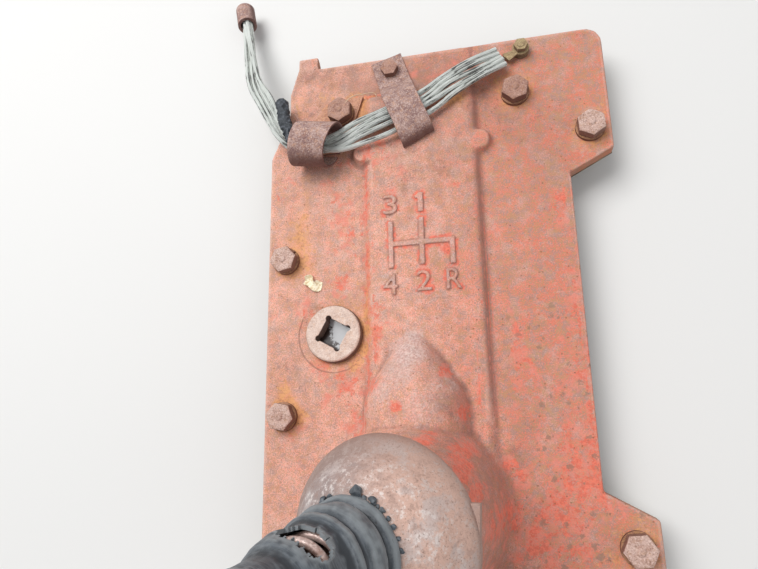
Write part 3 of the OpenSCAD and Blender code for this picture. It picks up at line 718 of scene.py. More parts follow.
for name, (start, end) in bars.items():
    run = Vector(end) - Vector(start)
    middle = (Vector(start) + Vector(end)) / 2 * MM
    thick = flag_w if name.startswith("flag") else bar_w
    diagram_parts.append(add_block(
        name, (middle.x, middle.y, band_top + (raised - sunk) / 2),
        (run.length * MM + thick, thick, raised + sunk), run.angle_signed(Vector((1, 0))),
    ))
for numeral, (x, y) in numerals.items():
    glyph = added(bpy.ops.object.text_add, numeral)
    glyph.data.body = numeral
    glyph.data.align_x = "CENTER"
    glyph.data.extrude = 0.09
    glyph.data.resolution_u = 6
    bpy.ops.object.convert(target="MESH")
    corners = points_of(glyph)
    low, high = corners.min(axis=0), corners.max(axis=0)
    width = narrow_w if numeral == "1" else numeral_w
    scales = [new / old for new, old in zip((width, numeral_h, raised + sunk), high - low)]
    glyph.data.transform(
        Matrix.Translation((x * MM, y * MM, band_top - sunk)) @ Matrix.Diagonal((*scales, 1))
        @ Matrix.Translation((-(low[0] + high[0]) / 2, -(low[1] + high[1]) / 2, -low[2]))
    )
    diagram_parts.append(glyph)
diagram_parts.append(add_block(
    "band_skin",
    ((skin_low[0] + skin_high[0]) / 2, (skin_low[1] + skin_high[1]) / 2, band_top + skin_rise - sunk),
    (skin_high[0] - skin_low[0], skin_high[1] - skin_low[1], 2 * sunk),
))
join(*diagram_parts)
diagram = diagram_parts[0]
diagram.name = diagram.data.name = "gate_diagram"
rounded(diagram, diagram_voxel, diagram_rounding)
finish_with(diagram, "DECIMATE", ratio=diagram_faces_kept)
points = points_of(diagram)
marks = marks_at(points)
stands_out = points[:, 2] > band_top + 0.7 * MM
edges = kdtree.KDTree(int(stands_out.sum()))
for number, index in enumerate(np.flatnonzero(stands_out)):
    edges.insert(points[index], number)
edges.balance()
away = np.array([edges.find(point)[2] for point in points])
beside = (away > 0) & ~stands_out
patchy = np.array([noise.noise(Vector(point) / halo_patch) for point in points])
halo = np.clip(1.1 - away / halo_w, 0, 0.6) * beside * np.clip(patchy * 4 + 0.9, 0, 1)
# The outline at the feet of the bars and numerals goes in with the dirt marks: rust and painted shade.
outline = np.clip(1.9 - away / outline_w, 0, 1.6) * beside
marks[0] = np.where(stands_out, 0.0, np.maximum(coral_share * marks[0], halo))
marks[2] = np.where(stands_out, 0.25, np.maximum(marks[2], outline))
marks[3] = np.where(stands_out, 0.4, marks[3])
store(diagram, "marks", "FLOAT_COLOR", np.stack(marks, axis=1))
store_hollows(diagram, rounds=12, reach=0.5 * MM)
dress(diagram, "cover", "painted_iron", painted_iron)

# Bolts: half-inch hexagon bolts, hot forged, with a small round nub in the middle of the head.
# Weather has rounded their corners; the flats are bare and pinkish, the flanks dark with rust and painted
# shade.
# Their threads stand out below the gasket. One head is made and copied to each place and turn.
head_across = 19.05 * MM
head_h = 8 * MM
nub_h = 1 * MM
nub_r = 2.4 * MM
ring_r = 4.1 * MM
ring_z = head_h - 0.35 * MM
head_voxel = 0.4 * MM
head_rounding = 3
head_faces_kept = 0.35
thread_d = 12.7 * MM
thread_pitch = 1.95 * MM
thread_turns = 9
thread_out = 19 * MM
shank_r = thread_d / 2 - 0.3 * MM
root_r = thread_d / 2 - 1.1 * MM
washer_t = 3 * MM
washer_d = 22 * MM
strap_t = 2.5 * MM
# Each bolt: its place, the height of what lies under its washer, and its turn in degrees
bolt_table = [
    (-118.5, 61.3, 0, 12), (-118.5, -61.3, 0, 50), (124, 148, 0, 33), (124, -148, 0, 5),
    (-71, -196, 0, 22), (71, -196, 0, 41), (-71, 185.5, 2.5, 28), (71, 185.5, 0, 17),
]

# Rust skin: the mottled, flaky surface of bare steel left outside
rust_skin, given, result = start_group(
    "rust_skin", {"Place": "Vector"}, ["Mottle", "Speckle", "Flakes", "Height"]
)
tree = rust_skin
place = given["Place"]
speckle = noise_of(tree, place, 1.1 * MM, 3, 0.7)
flakes = between(tree, noise_of(tree, place, 3 * MM, 5, 0.75), 0.5, 0.62)
height = summed(tree, (speckle, 1), (noise_of(tree, place, 2.6 * MM, 2, 0.5), 1), (flakes, -0.25))
tree.links.new(between(tree, noise_of(tree, place, 8 * MM, 4, 0.65), 0.38, 0.62), result["Mottle"])
tree.links.new(speckle, result["Speckle"])
tree.links.new(flakes, result["Flakes"])
tree.links.new(height, result["Height"])


def rusted(name, tones, warm_share=0.5, pale_share=0.5, dark_share=0.7, depth=0.3 * MM, rough=0.75):
    """Rusty steel. Tones: a plain and a deep one, warm flakes, pale grains, and dark grains with painted
    shade.
    """
    plain, deep, warm, pale, dark_and_shade = tones
    material, tree, shader, place = start_material(name)
    skin = use_group(tree, rust_skin, Place=place)
    facing = axes_of(tree, add_node(tree, "NewGeometry").outputs["Normal"])["Z"]
    colour = layered(
        tree, mixed(tree, skin["Mottle"], plain, deep),
        (times(tree, skin["Flakes"], warm_share), warm),
        (between(tree, skin["Speckle"], 0.5, 0.66, 0, pale_share), pale),
        (between(tree, skin["Speckle"], 0.46, 0.32, 0, dark_share), dark_and_shade),
        # Faces that do not face up take the dark tone: painted shade on the sides, over rust.
        (between(tree, facing, 0.8, 0.3, 0, 0.85), dark_and_shade),
    )
    roughness = between(tree, skin["Mottle"], 0, 1, rough - 0.08, rough + 0.12)
    finish_material(tree, shader, colour, roughness, skin["Height"], depth)
    return material


bolt_rust = rusted("rusty_steel", [
    (0.62, 0.42, 0.355, 1), (0.50, 0.31, 0.25, 1), (0.60, 0.31, 0.145, 1), (0.83, 0.65, 0.57, 1),
    (0.16, 0.07, 0.045, 1),
], warm_share=0.3, pale_share=0.7)
brown_rust = rusted("brown_rust", [
    (0.44, 0.245, 0.185, 1), (0.36, 0.19, 0.145, 1), (0.55, 0.26, 0.12, 1), (0.62, 0.42, 0.35, 1),
    (0.12, 0.05, 0.035, 1),
], warm_share=0.4)


def drawn_line(name, points):
    """A line through points, extruded from one vertex, selected in edit mode."""
    piece = added(bpy.ops.mesh.primitive_plane_add, name, size=1 * MM)
    bpy.ops.object.mode_set(mode="EDIT")
    bpy.ops.mesh.merge(type="CENTER")
    bpy.ops.transform.translate(value=points[0])
    for here, there in zip(points, points[1:]):
        step = [end - start for start, end in zip(here, there)]
        bpy.ops.mesh.extrude_vertices_move(TRANSFORM_OT_translate={"value": step})
    bpy.ops.mesh.select_all(action="SELECT")
    return piece


def close_up():
    """Merge a mesh's doubles, turn its faces outwards and leave edit mode."""
    bpy.ops.mesh.select_all(action="SELECT")
    bpy.ops.mesh.remove_doubles(threshold=0.005 * MM)
    bpy.ops.mesh.normals_make_consistent(inside=False)
    bpy.ops.mesh.select_mode(type="VERT")
    bpy.ops.object.mode_set(mode="OBJECT")


def turned(name, profile, steps):
    """A body turned on a lathe: a profile of (radius, height), spun about Z."""
    piece = drawn_line(name, [(r, 0, z) for r, z in profile])
    bpy.ops.mesh.spin(steps=steps, angle=2 * pi, center=(0, 0, 0), axis=(0, 0, 1))
    close_up()
    return piece


def coiled(name, section, pitch, turns, steps):
    """A closed section of (radius, height) points wound about Z like a thread or a spring."""
    piece = added(bpy.ops.mesh.primitive_circle_add, name, vertices=len(section), radius=1)
    for corner, (r, z) in zip(piece.data.vertices, section):
        corner.co = (r, 0, z)
    finish_with(
        piece, "SCREW", angle=2 * pi, screw_offset=pitch, iterations=turns, steps=steps, render_steps=steps
    )
    bpy.ops.object.mode_set(mode="EDIT")
    bpy.ops.mesh.select_all(action="DESELECT")
    bpy.ops.mesh.select_mode(type="EDGE")
    bpy.ops.mesh.select_non_manifold()
    bpy.ops.mesh.fill_holes(sides=len(section))
    close_up()
    return piece


def put(piece, place):
    """Move a mesh to its place, with its object left at the origin."""
    piece.matrix_world = place
    select_only(piece)
    settle()


def turn_z(degrees_round):
    """A turn about Z."""
    return Matrix.Rotation(radians(degrees_round), 4, "Z")


def cut_with(piece, tool, operation):
    """Combine a piece with a tool's shape, and remove the tool."""
    finish_with(piece, "BOOLEAN", object=tool, operation=operation, solver="EXACT")
    bpy.data.objects.remove(tool)


head = added(
    bpy.ops.mesh.primitive_cylinder_add, "head", vertices=6, radius=head_across / 2 / cos(radians(30)),
    depth=head_h + 4 * MM, location=(0, 0, head_h / 2 + 2 * MM),
)
settle()
chamfer = turned("chamfer", [
    (0, 0), (14 * MM, 0), (14 * MM, head_h - 2.9 * MM), (head_across / 2 + 0.5 * MM, head_h - 0.7 * MM),
    (head_across / 2 - 0.9 * MM, head_h), (ring_r + 0.6 * MM, head_h + 0.1 * MM), (ring_r, ring_z),
    (nub_r + 0.6 * MM, ring_z), (nub_r, head_h + nub_h * 0.6), (nub_r * 0.5, head_h + nub_h),
    (0, head_h + nub_h),
], steps=64)
cut_with(head, chamfer, "INTERSECT")
rounded(head, head_voxel, head_rounding)
finish_with(head, "DECIMATE", ratio=head_faces_kept)
thread = coiled("thread", [
    (root_r - 0.5 * MM, 0.05 * thread_pitch), (root_r - 0.5 * MM, 0.95 * thread_pitch),
    (thread_d / 2, 0.58 * thread_pitch), (thread_d / 2, 0.42 * thread_pitch),
], thread_pitch, thread_turns, steps=24)
put(thread, Matrix.Translation((0, 0, 0.5 * MM - (thread_turns + 1) * thread_pitch)))
for number, (x, y, lift, turn) in enumerate(bolt_table):
    seat = plate_top + lift * MM + washer_t
    bolt = turned(f"bolt_{number + 1}", [
        (0, seat + 1 * MM), (shank_r, seat + 1 * MM), (shank_r, 0), (root_r, -0.5 * MM),
        (root_r, 1 * MM - thread_out), (root_r - 1 * MM, -thread_out), (0, -thread_out),
    ], steps=32)
    top = copy_of(head, "head")
    put(top, Matrix.Translation((0, 0, seat)) @ turn_z(turn + 30))
    join(bolt, top, copy_of(thread, "winding"))
    put(bolt, Matrix.Translation((x * MM, y * MM, 0)))
    rust = brown_rust if y > 150 else bolt_rust
    dress(bolt, "cover", "rusty_steel", rust, "cover_bolts", crease=40)
bpy.data.objects.remove(head)
bpy.data.objects.remove(thread)

# Lock washers: split rings of square spring wire, one under each bolt head, that keep the bolts
# from working loose. A block is spun most of the way round, and its edges are softened. They
# have no paint left and are brown with rust.
washer_rust = rusted("washer_rust", [
    (0.42, 0.20, 0.11, 1), (0.28, 0.12, 0.07, 1), (0.62, 0.34, 0.14, 1), (0.60, 0.40, 0.26, 1),
    (0.13, 0.055, 0.035, 1),
], warm_share=0.6, pale_share=0.4)
inner_r = thread_d / 2 + 0.3 * MM
wire_w = washer_d / 2 - inner_r
slice_t = 0.1 * MM
split_gap = 8


def select_faces(piece, chosen):
    """Go into edit mode with only the chosen faces of a mesh selected."""
    select_only(piece)
    bpy.ops.object.mode_set(mode="EDIT")
    bpy.ops.mesh.select_mode(type="FACE")
    bpy.ops.mesh.select_all(action="DESELECT")
    bpy.ops.object.mode_set(mode="OBJECT")
    for face in piece.data.polygons:
        face.select = chosen(face)
    bpy.ops.object.mode_set(mode="EDIT")


def soften_edges(piece, width, sharper_than):
    """Round the edges that are sharper than an angle in degrees."""
    finish_with(
        piece, "BEVEL", width=width, segments=2, limit_method="ANGLE", angle_limit=radians(sharper_than)
    )


for number, (x, y, lift, turn) in enumerate(bolt_table):
    ring = add_block(
        f"lock_washer_{number + 1}", (inner_r + wire_w / 2, 0, washer_t / 2), (wire_w, slice_t, washer_t)
    )
    select_faces(ring, lambda face: face.normal.y > 0.9)
    bpy.ops.mesh.spin(steps=44, angle=radians(360 - split_gap), center=(0, 0, 0), axis=(0, 0, 1))
    close_up()
    soften_edges(ring, 0.5 * MM, 40)
    put(ring, Matrix.Translation((x * MM, y * MM, plate_top + lift * MM)) @ turn_z(3 * turn))
    dress(ring, "cover", "rusty_steel", washer_rust, "lock_washers", crease=40)

# Filler plug: a turned iron plug with a square socket for a spanner. The socket's corners are
# drilled out, and dirty water and oil stand in it. Its face is worn cream and pink.
plug_at = Vector((-78, 0, 0)) * MM
plug_r = 22 * MM
plug_top = 19 * MM
plug_low = 3 * MM
socket_low = 6 * MM
socket_w = 19.05 * MM
socket_h = plug_top + 5 * MM - socket_low
socket_turn = 61
lobe_r = 2.3 * MM
lobe_out = socket_w / 2 * sqrt(2) - 1.4 * MM
plug_voxel = 0.42 * MM
plug_rounding = 4
plug_faces_kept = 0.3
plug_wear = 0.35 * MM
liquid_z = 8 * MM
# Its dark tone paints the walls of the socket near black: painted shade inside the socket.
plug_rust = rusted("plug_rust", [
    (0.76, 0.58, 0.49, 1), (0.66, 0.48, 0.40, 1), (0.74, 0.45, 0.28, 1), (0.90, 0.78, 0.70, 1),
    (0.07, 0.025, 0.014, 1),
], warm_share=0.35, pale_share=0.6, dark_share=0.28)
plug = turned("turned_plug", [
    (0, plug_low), (plug_r, plug_low), (plug_r, plug_top - 2.2 * MM),
    (plug_r - 0.5 * MM, plug_top - 0.9 * MM), (plug_r - 1.6 * MM, plug_top), (0, plug_top),
], steps=96)
cutter = add_block("cutter", (0, 0, socket_low + socket_h / 2), (socket_w, socket_w, socket_h))
for corner in range(4):
    angle = radians(45 + 90 * corner)
    cut_with(cutter, added(
        bpy.ops.mesh.primitive_cylinder_add, "lobe", vertices=24, radius=lobe_r, depth=socket_h,
        location=(lobe_out * cos(angle), lobe_out * sin(angle), socket_low + socket_h / 2),
    ), "UNION")
put(cutter, turn_z(socket_turn))
liquid = copy_of(cutter, "socket_liquid")
cut_with(plug, cutter, "DIFFERENCE")
rounded(plug, plug_voxel, plug_rounding)
for vertex in plug.data.vertices:
    if vertex.co.z > plug_top - 3 * MM:
        vertex.co.z += plug_wear * noise.noise(vertex.co / (4 * MM))
finish_with(plug, "DECIMATE", ratio=plug_faces_kept)
put(plug, Matrix.Translation(plug_at))
dress(plug, "cover", "rusty_steel", plug_rust, "filler_plug")
cut_with(liquid, add_block("above", (0, 0, liquid_z + 20 * MM), (0.1, 0.1, 40 * MM)), "DIFFERENCE")
put(liquid, Matrix.Translation(plug_at + Vector((0, 0, -0.2 * MM))))
dirty_water, tree, shader, place = start_material("dirty_water", Roughness=0.06, IOR=1.4)
axis = axes_of(tree, place)
towards_light = summed(tree, (axis["X"], 1), (axis["Y"], 0.35))
towards_light = ruffled(tree, towards_light, noise_of(tree, place, 5 * MM, 5, 0.7), 20 * MM)
scum = between(tree, towards_light, -79.5 * MM, -82.5 * MM)
# The pale grey is a painted reflection on the water; towards the left it is dark brown scum.
colour = mixed(tree, scum, (0.46, 0.46, 0.47, 1), (0.03, 0.014, 0.01, 1))
ripple = noise_of(tree, place, 5 * MM, 1, 0.4)
finish_material(tree, shader, colour, between(tree, scum, 0, 1, 0.05, 0.3), ripple, 0.15 * MM)
dress(liquid, "cover", "rusty_steel", dirty_water, crease=0)

# Loom clips: straps of thin steel gone purple-brown. The left one is rolled round the wires,
# a little out of square, and its foot is held under a cover bolt. The right one is a bridge
# over them, held by its own screw.
strap_w = 27 * MM
sheet_t = 1.7 * MM
roll_w = 29 * MM
roll_r = 18 * MM
roll_at = Vector((-89.5, 153, 31.4)) * MM
roll_turn = -9
roll_slant = 4.5 * MM
roll_widening = 4.5 * MM
roll_shift = 3 * MM
roll_steps = 40
roll_gap = 0.03
strap_rust = rusted("strap_rust", [
    (0.45, 0.29, 0.25, 1), (0.27, 0.155, 0.14, 1), (0.60, 0.30, 0.16, 1), (0.74, 0.58, 0.52, 1),
    (0.13, 0.06, 0.05, 1),
], warm_share=0.45, pale_share=0.6)


def bent_strap(name, side_view, width, thickness):
    """A strap bent along points of (distance, height), with rounded bends."""
    piece = drawn_line(name, [(-width / 2, d, z) for d, z in side_view])
    strips = 6
    for _ in range(strips):
        bpy.ops.mesh.extrude_edges_move(TRANSFORM_OT_translate={"value": (width / strips, 0, 0)})
    close_up()
    finish_with(piece, "SUBSURF", levels=1, render_levels=1, boundary_smooth="PRESERVE_CORNERS")
    finish_with(piece, "SOLIDIFY", thickness=thickness, offset=0)
    soften_edges(piece, 0.4 * MM, 60)
    return piece


# The noise that moves points is seeded, so that every run leaves the same dents
noise.seed_set(7)


def dent(piece, depth, size):
    """Move a mesh's points a little, as knocks and rust leave it."""
    for vertex in piece.data.vertices:
        vertex.co += depth * noise.noise_vector(vertex.co / size)


def flat_plate(name, outline, low, high):
    """A flat plate with an outline of (x, y) corners in millimetres."""
    piece = added(
        bpy.ops.mesh.primitive_circle_add, name, vertices=len(outline), radius=1, fill_type="NGON"
    )
    for corner, (x, y) in zip(piece.data.vertices, outline):
        corner.co = (x * MM, y * MM, low)
    bpy.ops.object.mode_set(mode="EDIT")
    bpy.ops.mesh.select_all(action="SELECT")
    bpy.ops.mesh.extrude_region_move(TRANSFORM_OT_translate={"value": (0, 0, high - low)})
    close_up()
    return piece


middle_r = roll_r - sheet_t / 2
angles = [-2 * pi * (roll_gap + (1 - roll_gap) * i / roll_steps) for i in range(roll_steps + 1)]
rolled_view = [(middle_r * sin(a), -middle_r * cos(a)) for a in angles]
rolled = bent_strap("rolled_clip", rolled_view, roll_w, sheet_t)
for vertex in rolled.data.vertices:
    along = (vertex.co.y + roll_r) / (2 * roll_r)
    across = (vertex.co.x + roll_w / 2) / roll_w
    vertex.co.x += along * (roll_slant + roll_widening * across) - roll_shift
dent(rolled, 0.5 * MM, 12 * MM)
put(rolled, Matrix.Translation(roll_at) @ turn_z(roll_turn))
dress(rolled, "cover", "rusty_steel", strap_rust, "loom_clip_left", crease=35)
foot = flat_plate("rolled_clip_foot", [
    (-104, 151), (-75, 151), (-60.5, 176.5), (-52.5, 200), (-79, 199), (-87, 193), (-104, 175),
], plate_top + 0.1 * MM, plate_top + strap_t)
soften_edges(foot, 0.5 * MM, 60)
foot_rust = rusted("foot_rust", [
    (0.62, 0.30, 0.19, 1), (0.48, 0.22, 0.14, 1), (0.74, 0.40, 0.20, 1), (0.80, 0.55, 0.42, 1),
    (0.22, 0.10, 0.07, 1),
])
dress(foot, "cover", "rusty_steel", foot_rust, "loom_clip_left", crease=35)

bridge_at = Vector((-29, 221, 13)) * MM
bridge_turn = 16.5
bridge_t = 2 * MM
bridge_l = 76 * MM
bridge_h = 21 * MM
band_h = 8 * MM
bridge_view = [
    (0.16, 1.2 * MM), (-0.02, 1.2 * MM), (-0.17, 1.2 * MM), (-0.2, 2.5 * MM), (-0.32, bridge_h * 0.58),
    (-0.44, bridge_h * 0.93), (-0.48, bridge_h), (-0.58, bridge_h + 1.4 * MM), (-0.7, bridge_h + 1.4 * MM),
    (-0.82, bridge_h + 1.2 * MM), (-0.92, bridge_h - 2 * MM), (-0.97, band_h + 7 * MM),
    (-0.99, band_h + 0.9 * MM),
]
bridge_view = [(bridge_l * along, z) for along, z in bridge_view]
bridge = bent_strap("bridge_clip", bridge_view, strap_w, bridge_t)
for vertex in bridge.data.vertices:
    along = max(0, -vertex.co.y / bridge_l - 0.5) * 2
    across = vertex.co.x / strap_w + 0.5
    vertex.co += Vector((2.5 * MM, 4.5 * MM * across, 0)) * along
dent(bridge, 0.6 * MM, 16 * MM)
put(bridge, Matrix.Translation(bridge_at) @ turn_z(bridge_turn))
dress(bridge, "cover", "rusty_steel", strap_rust, "loom_clip_right", crease=35)

# Small fittings of the loom keep their own shapes: the bridge clip's screw, the ring terminals
# with their stud, and the strap at the loom's far end.
terminal_brass = rusted("terminal_brass", [
    (0.42, 0.30, 0.15, 1), (0.30, 0.20, 0.11, 1), (0.35, 0.30, 0.16, 1), (0.66, 0.52, 0.30, 1),
    (0.16, 0.10, 0.06, 1),
], warm_share=0.4)
paint(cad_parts["clip_screw"], brown_rust)
paint(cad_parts["loom_terminals"], terminal_brass)
paint(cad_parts["loom_end_clip"], strap_rust)

# Tape: black cotton tape wound round the loom where it leaves the rolled clip, pulled into
# creases. A loose tan thread hangs over the bolt beside it, and a curled chip of old paint
# lies on the cover.
tape_route = [
    (-121.5, 199, 24.5), (-119.5, 190, 26), (-117.5, 180, 27), (-113.5, 170, 28), (-110.5, 163, 28),
    (-109, 157, 28),
]
tape_r = 5 * MM
crease_h = 0.9 * MM
thread_route = [
    (-65.4, 189.6, 26.3), (-62, 193, 26), (-58, 196, 24.5), (-53, 198.5, 21), (-47, 201, 17.5),
    (-43, 201.5, 15.5), (-41.3, 199, 14.5), (-41.5, 195, 14), (-42.5, 192.5, 13.9),
]
thread_r = 0.35 * MM


def strand(name, route, radius, resolution):
    """A round strand along a route in millimetres, as a mesh."""
    piece = clean_curve(name, [Vector(point) * MM for point in route], radius, resolution)
    select_only(piece)
    bpy.ops.object.convert(target="MESH")
    return piece


tape_black, tree, shader, place = start_material("tape_black")
folds = noise_of(tree, place, 3 * MM, 4)
colour = mixed(tree, between(tree, folds, 0.45, 0.7), (0.022, 0.027, 0.034, 1), (0.12, 0.13, 0.15, 1))
finish_material(tree, shader, colour, between(tree, folds, 0.3, 0.7, 0.5, 0.8), folds, 0.8 * MM)
tape = strand("loom_tape", tape_route, tape_r, 6)
finish_with(tape, "REMESH", mode="VOXEL", voxel_size=0.7 * MM)
for vertex in tape.data.vertices:
    crease = 1 - 3 * abs(noise.noise(vertex.co / (4.5 * MM))) + 0.3 * noise.noise(vertex.co / (1.5 * MM))
    vertex.co += crease_h * crease * vertex.normal
dress(tape, "cover", "boot_rubber", tape_black)

thread_tan, tree, shader, place = start_material("thread_tan")
fray = noise_of(tree, place, 1 * MM)
colour = mixed(tree, fray, (0.62, 0.42, 0.25, 1), (0.85, 0.70, 0.52, 1))
finish_material(tree, shader, colour, between(tree, fray, 0.3, 0.7, 0.8, 0.95), fray, 0.1 * MM)
dress(strand("loose_thread", thread_route, thread_r, 2), "cover", "wire_cloth", thread_tan)

chip_at = Vector((-95.5, 41.5, 13.3)) * MM
chip_turn = -12
chip_l = 15 * MM
chip_h = 2.4 * MM
chip = added(bpy.ops.mesh.primitive_grid_add, "paint_chip", x_subdivisions=14, y_subdivisions=8, size=1)
for vertex in chip.data.vertices:
    x, y = vertex.co.x, vertex.co.y
    notch = 0.32 * (y + 0.5) * exp(-((x - 0.04) / 0.09) ** 2)
    across = 0.7 * y * (1 - 1.6 * x * x) - notch - 0.12 * sin(5 * x)
    curl = 4 * y * y * (0.6 - x) + 0.35 * sin(9 * x + 1)
    vertex.co = (chip_l * x, chip_l * across, chip_h * curl + 0.6 * MM)
finish_with(chip, "SUBSURF", levels=1, render_levels=1)
finish_with(chip, "SOLIDIFY", thickness=0.5 * MM, offset=0)
put(chip, Matrix.Translation(chip_at) @ turn_z(chip_turn))
chip_cream, tree, shader, place = start_material("chip_cream")
flecks = noise_of(tree, place, 2 * MM)
colour = mixed(tree, between(tree, flecks, 0.42, 0.62), (0.96, 0.87, 0.66, 1), (0.70, 0.55, 0.33, 1))
finish_material(tree, shader, colour, between(tree, flecks, 0.3, 0.7, 0.7, 0.9), flecks, 0.2 * MM)
dress(chip, "cover", "painted_iron", chip_cream)

# Gasket: a sheet of brown paper cut to the cover's outline. It is soaked with oil, and its edge
# is in sight all round between the cover and the gearbox. It keeps its own shape.
gasket_paper, tree, shader, place = start_material("gasket_paper")
fibres = noise_of(tree, place, 2 * MM, 4, 0.7)
oil = between(tree, noise_of(tree, place, 30 * MM), 0.4, 0.6)
colour = mixed(tree, fibres, (0.42, 0.31, 0.19, 1), (0.56, 0.45, 0.30, 1))
colour = mixed(tree, oil, colour, (0.12, 0.075, 0.045, 1))
finish_material(tree, shader, colour, between(tree, oil, 0, 1, 0.85, 0.45), fibres, 0.15 * MM)
paint(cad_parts["gasket"], gasket_paper)

# Gear lever: a forged rod with its ball, the finger below it that reaches the shift rails, and
# the fulcrum pin through the ball. All keep their own shapes. The shaft is polished by sleeves
# and hands between patches of brown rust, and the black knob has worn dull.
ball_at = Vector((-17.5, -125, 112)) * MM
lean_y = Matrix.Rotation(radians(-15.5), 4, "Y")
lean_x = Matrix.Rotation(radians(3), 4, "X")
on_lever = Matrix.Translation(ball_at) @ lean_y @ lean_x
lever_up = 400 * MM
lever_rust = rusted("lever_steel", [
    (0.33, 0.235, 0.19, 1), (0.22, 0.13, 0.095, 1), (0.46, 0.22, 0.10, 1), (0.55, 0.45, 0.39, 1),
    (0.15, 0.08, 0.055, 1),
], warm_share=0.4, pale_share=0.4, depth=0.25 * MM, rough=0.55)
for node in ("gear_lever", "pivot_pin", "spring_collar"):
    paint(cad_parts[node], lever_rust)

knob_r = 23 * MM
knob_bore_r = 7.5 * MM
# The knob's outline, from its crown to its foot, as shares of its radius
knob_view = [
    (0, 1), (0.18, 0.985), (0.36, 0.935), (0.54, 0.845), (0.70, 0.715), (0.83, 0.56), (0.93, 0.37),
    (0.985, 0.17), (1, 0.03), (0.975, 0), (1, -0.03), (0.97, -0.2), (0.86, -0.40), (0.66, -0.45),
]
knob = turned("turned_knob", [(r * knob_r, z * knob_r) for r, z in knob_view] + [
    (knob_bore_r, -0.45 * knob_r), (knob_bore_r, 0.40 * knob_r), (0, 0.44 * knob_r),
], steps=64)
soften_edges(knob, 0.5 * MM, 40)
put(knob, on_lever @ Matrix.Translation((0, 0, lever_up)))
knob_black, tree, shader, place = start_material("knob_black", Coat_Weight=0.2)
scuffs = noise_of(tree, place, 2.5 * MM, 5, 0.75)
handled = noise_of(tree, place, 18 * MM, 2, 0.5)
scuffed = between(tree, scuffs, 0.55, 0.7, 0, 0.6)
colour = mixed(tree, scuffed, (0.022, 0.02, 0.02, 1), (0.13, 0.11, 0.10, 1))
finish_material(tree, shader, colour, between(tree, handled, 0.35, 0.65, 0.22, 0.5), scuffs, 0.12 * MM)
dress(knob, "lever", "knob", knob_black, "lever_knob", crease=35)

# Dome: a cap pressed from steel sheet that slides on the tower's head and keeps the dirt out.
# Its rim flares out to a small lip, and a square tab stands out of the lip at the right. Boots
# have worn it bare and pitted; the rim is still brown. Its left side, and its rim most on the left,
# are darker with the painted shadow of the boot and lever.
dome_in = 47 * MM
dome_out = 50 * MM
hole_r = 9.8 * MM
rim_z = 5.2 * MM
lip_foot_z = 20.5 * MM
dome_rings = 30
# How far the rim's brown reaches up, and where the black that the boot leaves begins
rim_reach = 36 * MM
crown_z = 38 * MM
crown_reach = 8 * MM
lip_view = [(49.7, 16.6), (51.6, 13.6), (52.8, 11.2), (53.5, 8.6), (53.6, 7), (53.3, 5.8), (52.6, 5.2)]


def arc(radius, first, last):
    """Points of (radius, height) on the dome, from one angle off its axis to another."""
    angles = [first + (last - first) * i / dome_rings for i in range(dome_rings + 1)]
    return [(radius * sin(a), radius * cos(a)) for a in angles]


hole_angle = hole_r / dome_out
outer_view = arc(dome_out, hole_angle, pi / 2 - lip_foot_z / dome_out * 1.03)
outer_view += [(r * MM, z * MM) for r, z in lip_view]
inner_view = arc(dome_in, pi / 2 - rim_z / dome_in, hole_angle)
dome = turned("pressed_dome", outer_view + inner_view + [outer_view[0]], steps=144)
tab = flat_plate(
    "tab", [(47.5, 20), (54.8, 20), (52.4, -6), (47.5, -12)], rim_z + 0.2 * MM, rim_z + 3.4 * MM
)
soften_edges(tab, 0.6 * MM, 40)
join(dome, tab)
# Where on the dome: R is how near the rim, G how far round to the right, B how near the boot
x, y, z = points_of(dome).T
to_right = x / dome_out
# The rim is brown with rust, and darkest on the left with painted shadow.
rim_near = np.clip(1 - (z - rim_z) / rim_reach, 0, 1) * (1 - 0.3 * to_right)
on_tab = (x > 47.2 * MM) & (z < rim_z + 3.5 * MM)
rim_near = np.where(on_tab, 0.85, rim_near)
crown_near = np.clip((z - crown_z) / crown_reach, 0, 1)
channels = [rim_near, to_right * 0.5 + 0.5, crown_near, np.ones(len(z))]
store(dome, "where", "FLOAT_COLOR", np.stack(channels, axis=1))
put(dome, on_lever)

dome_steel, tree, shader, place = start_material("dome_steel")
skin = use_group(tree, rust_skin, Place=place)
where = colours_of(tree, stored(tree, "where")["Color"])
clouds = noise_of(tree, place, 14 * MM, 5, 0.7)
streaks = noise_of(tree, place, 5 * MM, 5, 0.75)
# The left side is painted darker, as the shadow of the boot and lever.
side = between(tree, ruffled(tree, where["Green"], clouds, 0.9), 0.25, 0.8)
rim = ruffled(tree, where["Red"], streaks, 0.9)
dusty_black = times(tree, where["Blue"], between(tree, streaks, 0.35, 0.6, 0, 0.8))
colour = layered(
    tree, mixed(tree, side, (0.31, 0.235, 0.22, 1), (0.66, 0.42, 0.335, 1)),
    (between(tree, clouds, 0.5, 0.62, 0, 0.55), (0.54, 0.49, 0.48, 1)),
    (between(tree, streaks, 0.52, 0.62, 0, 0.6), (0.88, 0.80, 0.76, 1)),
    (between(tree, streaks, 0.48, 0.36, 0, 0.55), (0.33, 0.21, 0.17, 1)),
    (between(tree, rim, 0.15, 0.95, 0, 0.85), (0.29, 0.18, 0.145, 1)),
    (between(tree, skin["Speckle"], 0.42, 0.33, 0, 0.7), (0.22, 0.13, 0.10, 1)),
    (dusty_black, (0.09, 0.08, 0.075, 1)),
)
roughness = between(tree, streaks, 0.35, 0.65, 0.6, 0.42)
finish_material(tree, shader, colour, roughness, skin["Height"], 0.28 * MM)
dress(dome, "lever", "dome_steel", dome_steel, "dust_dome", crease=40)

